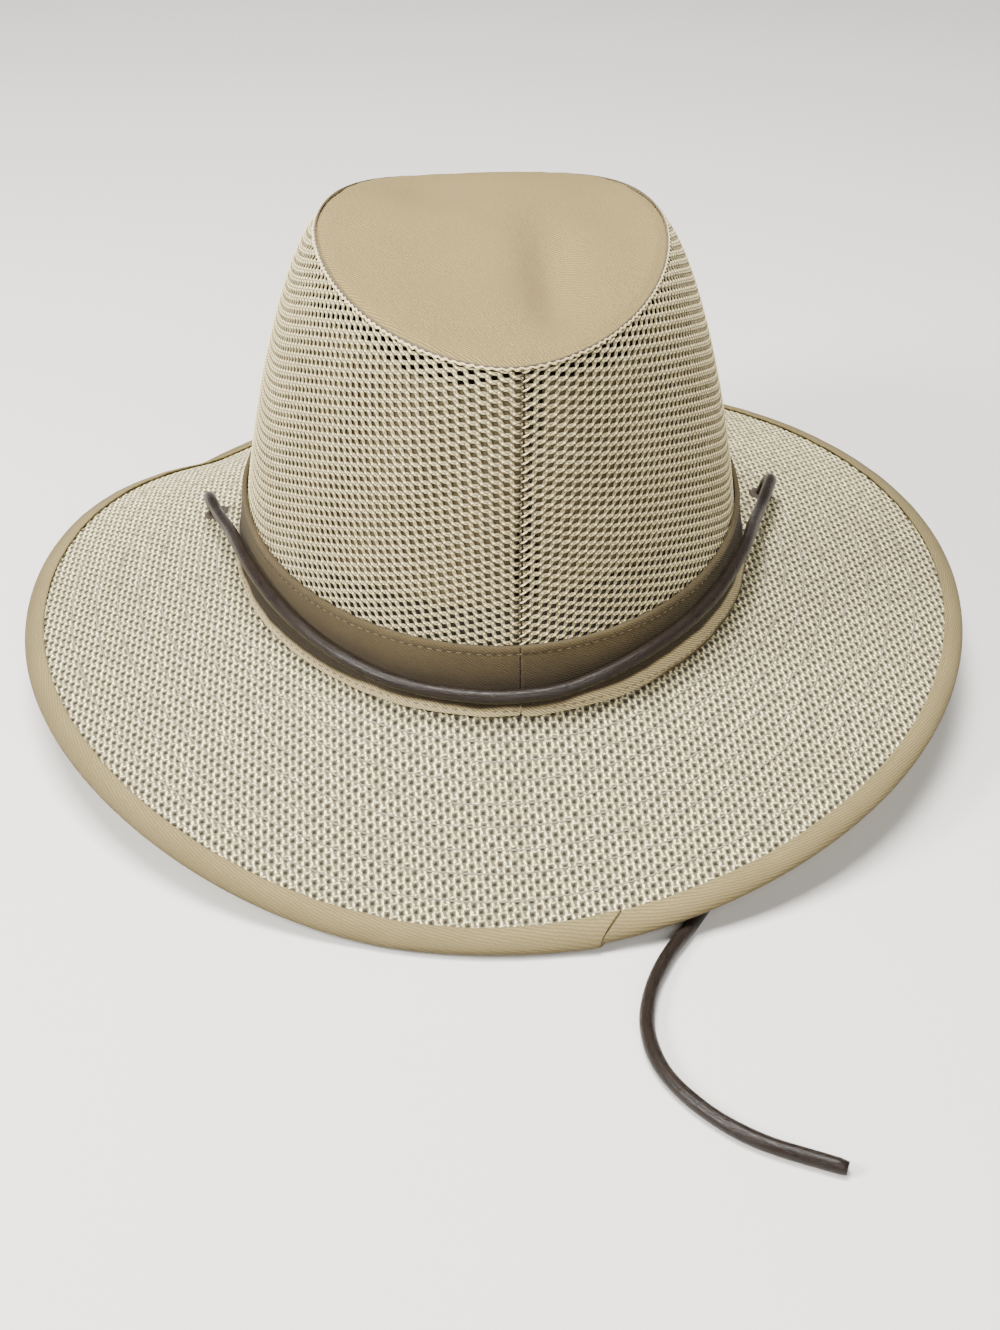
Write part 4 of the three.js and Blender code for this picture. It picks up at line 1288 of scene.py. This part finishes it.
JOINT_ANGLE = math.radians(-82.4)  # where the binding's ends overlap, at the rim
JOINT_SLANT = 0.052  # how much farther round the overlap's edge is at the tape's inner side
JOINT_RADIUS = 0.165
JOINT_STEP = 0.00007  # how sharp the overlap's edge is, and how far the upper end takes to lie down again
JOINT_FADE = 0.018
JOINT_LIFT = 0.0005  # how far the upper end rises and stands out, and the dip beside it
JOINT_OUT = 0.0011
JOINT_TUCK = 0.0006
NARROWINGS = [  # share of its width that the tape lacks, the angle where it lacks most, and a power
    (0.3, math.radians(25), 2),
    (0.2, math.radians(165), 3),
]
# The tape's section from the fold inwards over the top, {distance from the edge, lift}
BINDING_TOP = [
    (0.003, BINDING_HALF), (0.0046, BINDING_HALF), (0.006, BINDING_HALF), (0.0066, BINDING_HALF - 0.00012),
    (0.0072, BINDING_HALF), (0.008, BINDING_HALF - 0.0001), (0.0082, BINDING_HALF - 0.0004),
    (0.008, BINDING_HALF - 0.0008),
]
BINDING_INSIDE = [(0.0046, 0.0011), (0.0016, 0.0011), (0.0018, 0.0), (0.0028, -0.0011), (0.0046, -0.0011)]


def binding_section():
    """The tape's closed section. The fold is half a turn whose underside is set back, so that it leans."""
    bend = np.linspace(-np.pi / 2, np.pi / 2, 9)
    fold_edge = 0.0026 * (1 - np.cos(bend)) + 0.0011 * (1 - np.sin(bend)) - 0.0008
    under = [(edge, -lift) for edge, lift in reversed(BINDING_TOP) if edge > 0.0042]
    return np.concatenate([stack(fold_edge, BINDING_HALF * np.sin(bend)), BINDING_TOP, BINDING_INSIDE, under])


def make_binding():
    """The tape folded over the brim's edge, its section carried round. It is narrower at both sides. At the
    joint one end lies over the other: its folded edge is a step that slants across and stands out farther."""
    angle = denser(640, JOINT_ANGLE, 0.012, 161)
    edge, lift = binding_section().T[:, None]
    before = (JOINT_ANGLE - angle) * JOINT_RADIUS
    angle = angle + JOINT_SLANT * edge / BINDING_WIDTH * hump(angle - JOINT_ANGLE, 0.2)
    wide = 1
    for share, middle, power in NARROWINGS:
        wide = wide - share * ((1 + np.cos(angle - middle)) / 2) ** power
    slack = 0.0001 * np.sin(angle * 37 + 4 * np.sin(angle * 3)) + 0.00007 * np.sin(angle * 83)
    on_face = np.clip(lift / BINDING_HALF, 0, 1) * np.clip(edge / 0.002, 0, 1)
    lap = step_up(before, JOINT_STEP) * np.exp(-np.maximum(before, 0) / JOINT_FADE)
    tuck = hump(before + 0.00034, 0.0003)
    out = JOINT_OUT * lap * np.exp(-edge / 0.003)
    lift = lift + (slack + JOINT_LIFT * lap - JOINT_TUCK * tuck) * on_face
    points = brim_point(angle, BRIM_WIDTH - edge * wide + out, lift)
    ring_piece("brim_binding_tape", points, BINDING_TWILL, ["brim_binding"])


CORD_GAP_RADIUS = 0.0019  # the eyelets' dark thread reaches in to close round the cord, painted shade filling the hole
EYELET_TURNS = 44
EYELET_TURN_STEPS = 4
EYELET_SIDES = 12
EYELET_TALL = 0.0015
EYELET_WIDER = 0.00016
EYELET_RIPPLE = 0.0001


def make_eyelets():
    """Eyelets wound with thread: a flattened ring whose section is rippled by the turns of thread."""
    turn = circle(EYELET_TURNS * EYELET_TURN_STEPS)[:, None]
    part = circle(EYELET_SIDES)[None]
    ripples = EYELET_RIPPLE * np.cos(turn * EYELET_TURNS + 0.5 * np.sin(part))
    across = (EYELET_RADIUS - CORD_GAP_RADIUS) / 2 + EYELET_WIDER + ripples
    radius = (CORD_GAP_RADIUS + EYELET_RADIUS) / 2 + across * np.cos(part)
    height = (EYELET_TALL + ripples) * np.sin(part)
    for name in EYELETS:
        middle, round_it, outwards, up = eyelet_frame(name)
        points = middle + around(round_it, outwards, turn) * radius[..., None] + up * height[..., None]
        ring_piece(name + "_threads", points, OLIVE_THREAD, [name])


make_brim_threads()
make_binding()
make_eyelets()

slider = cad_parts["cord_slider"]
slider.data.materials.clear()
slider.data.materials.append(SLIDE_LEATHER)
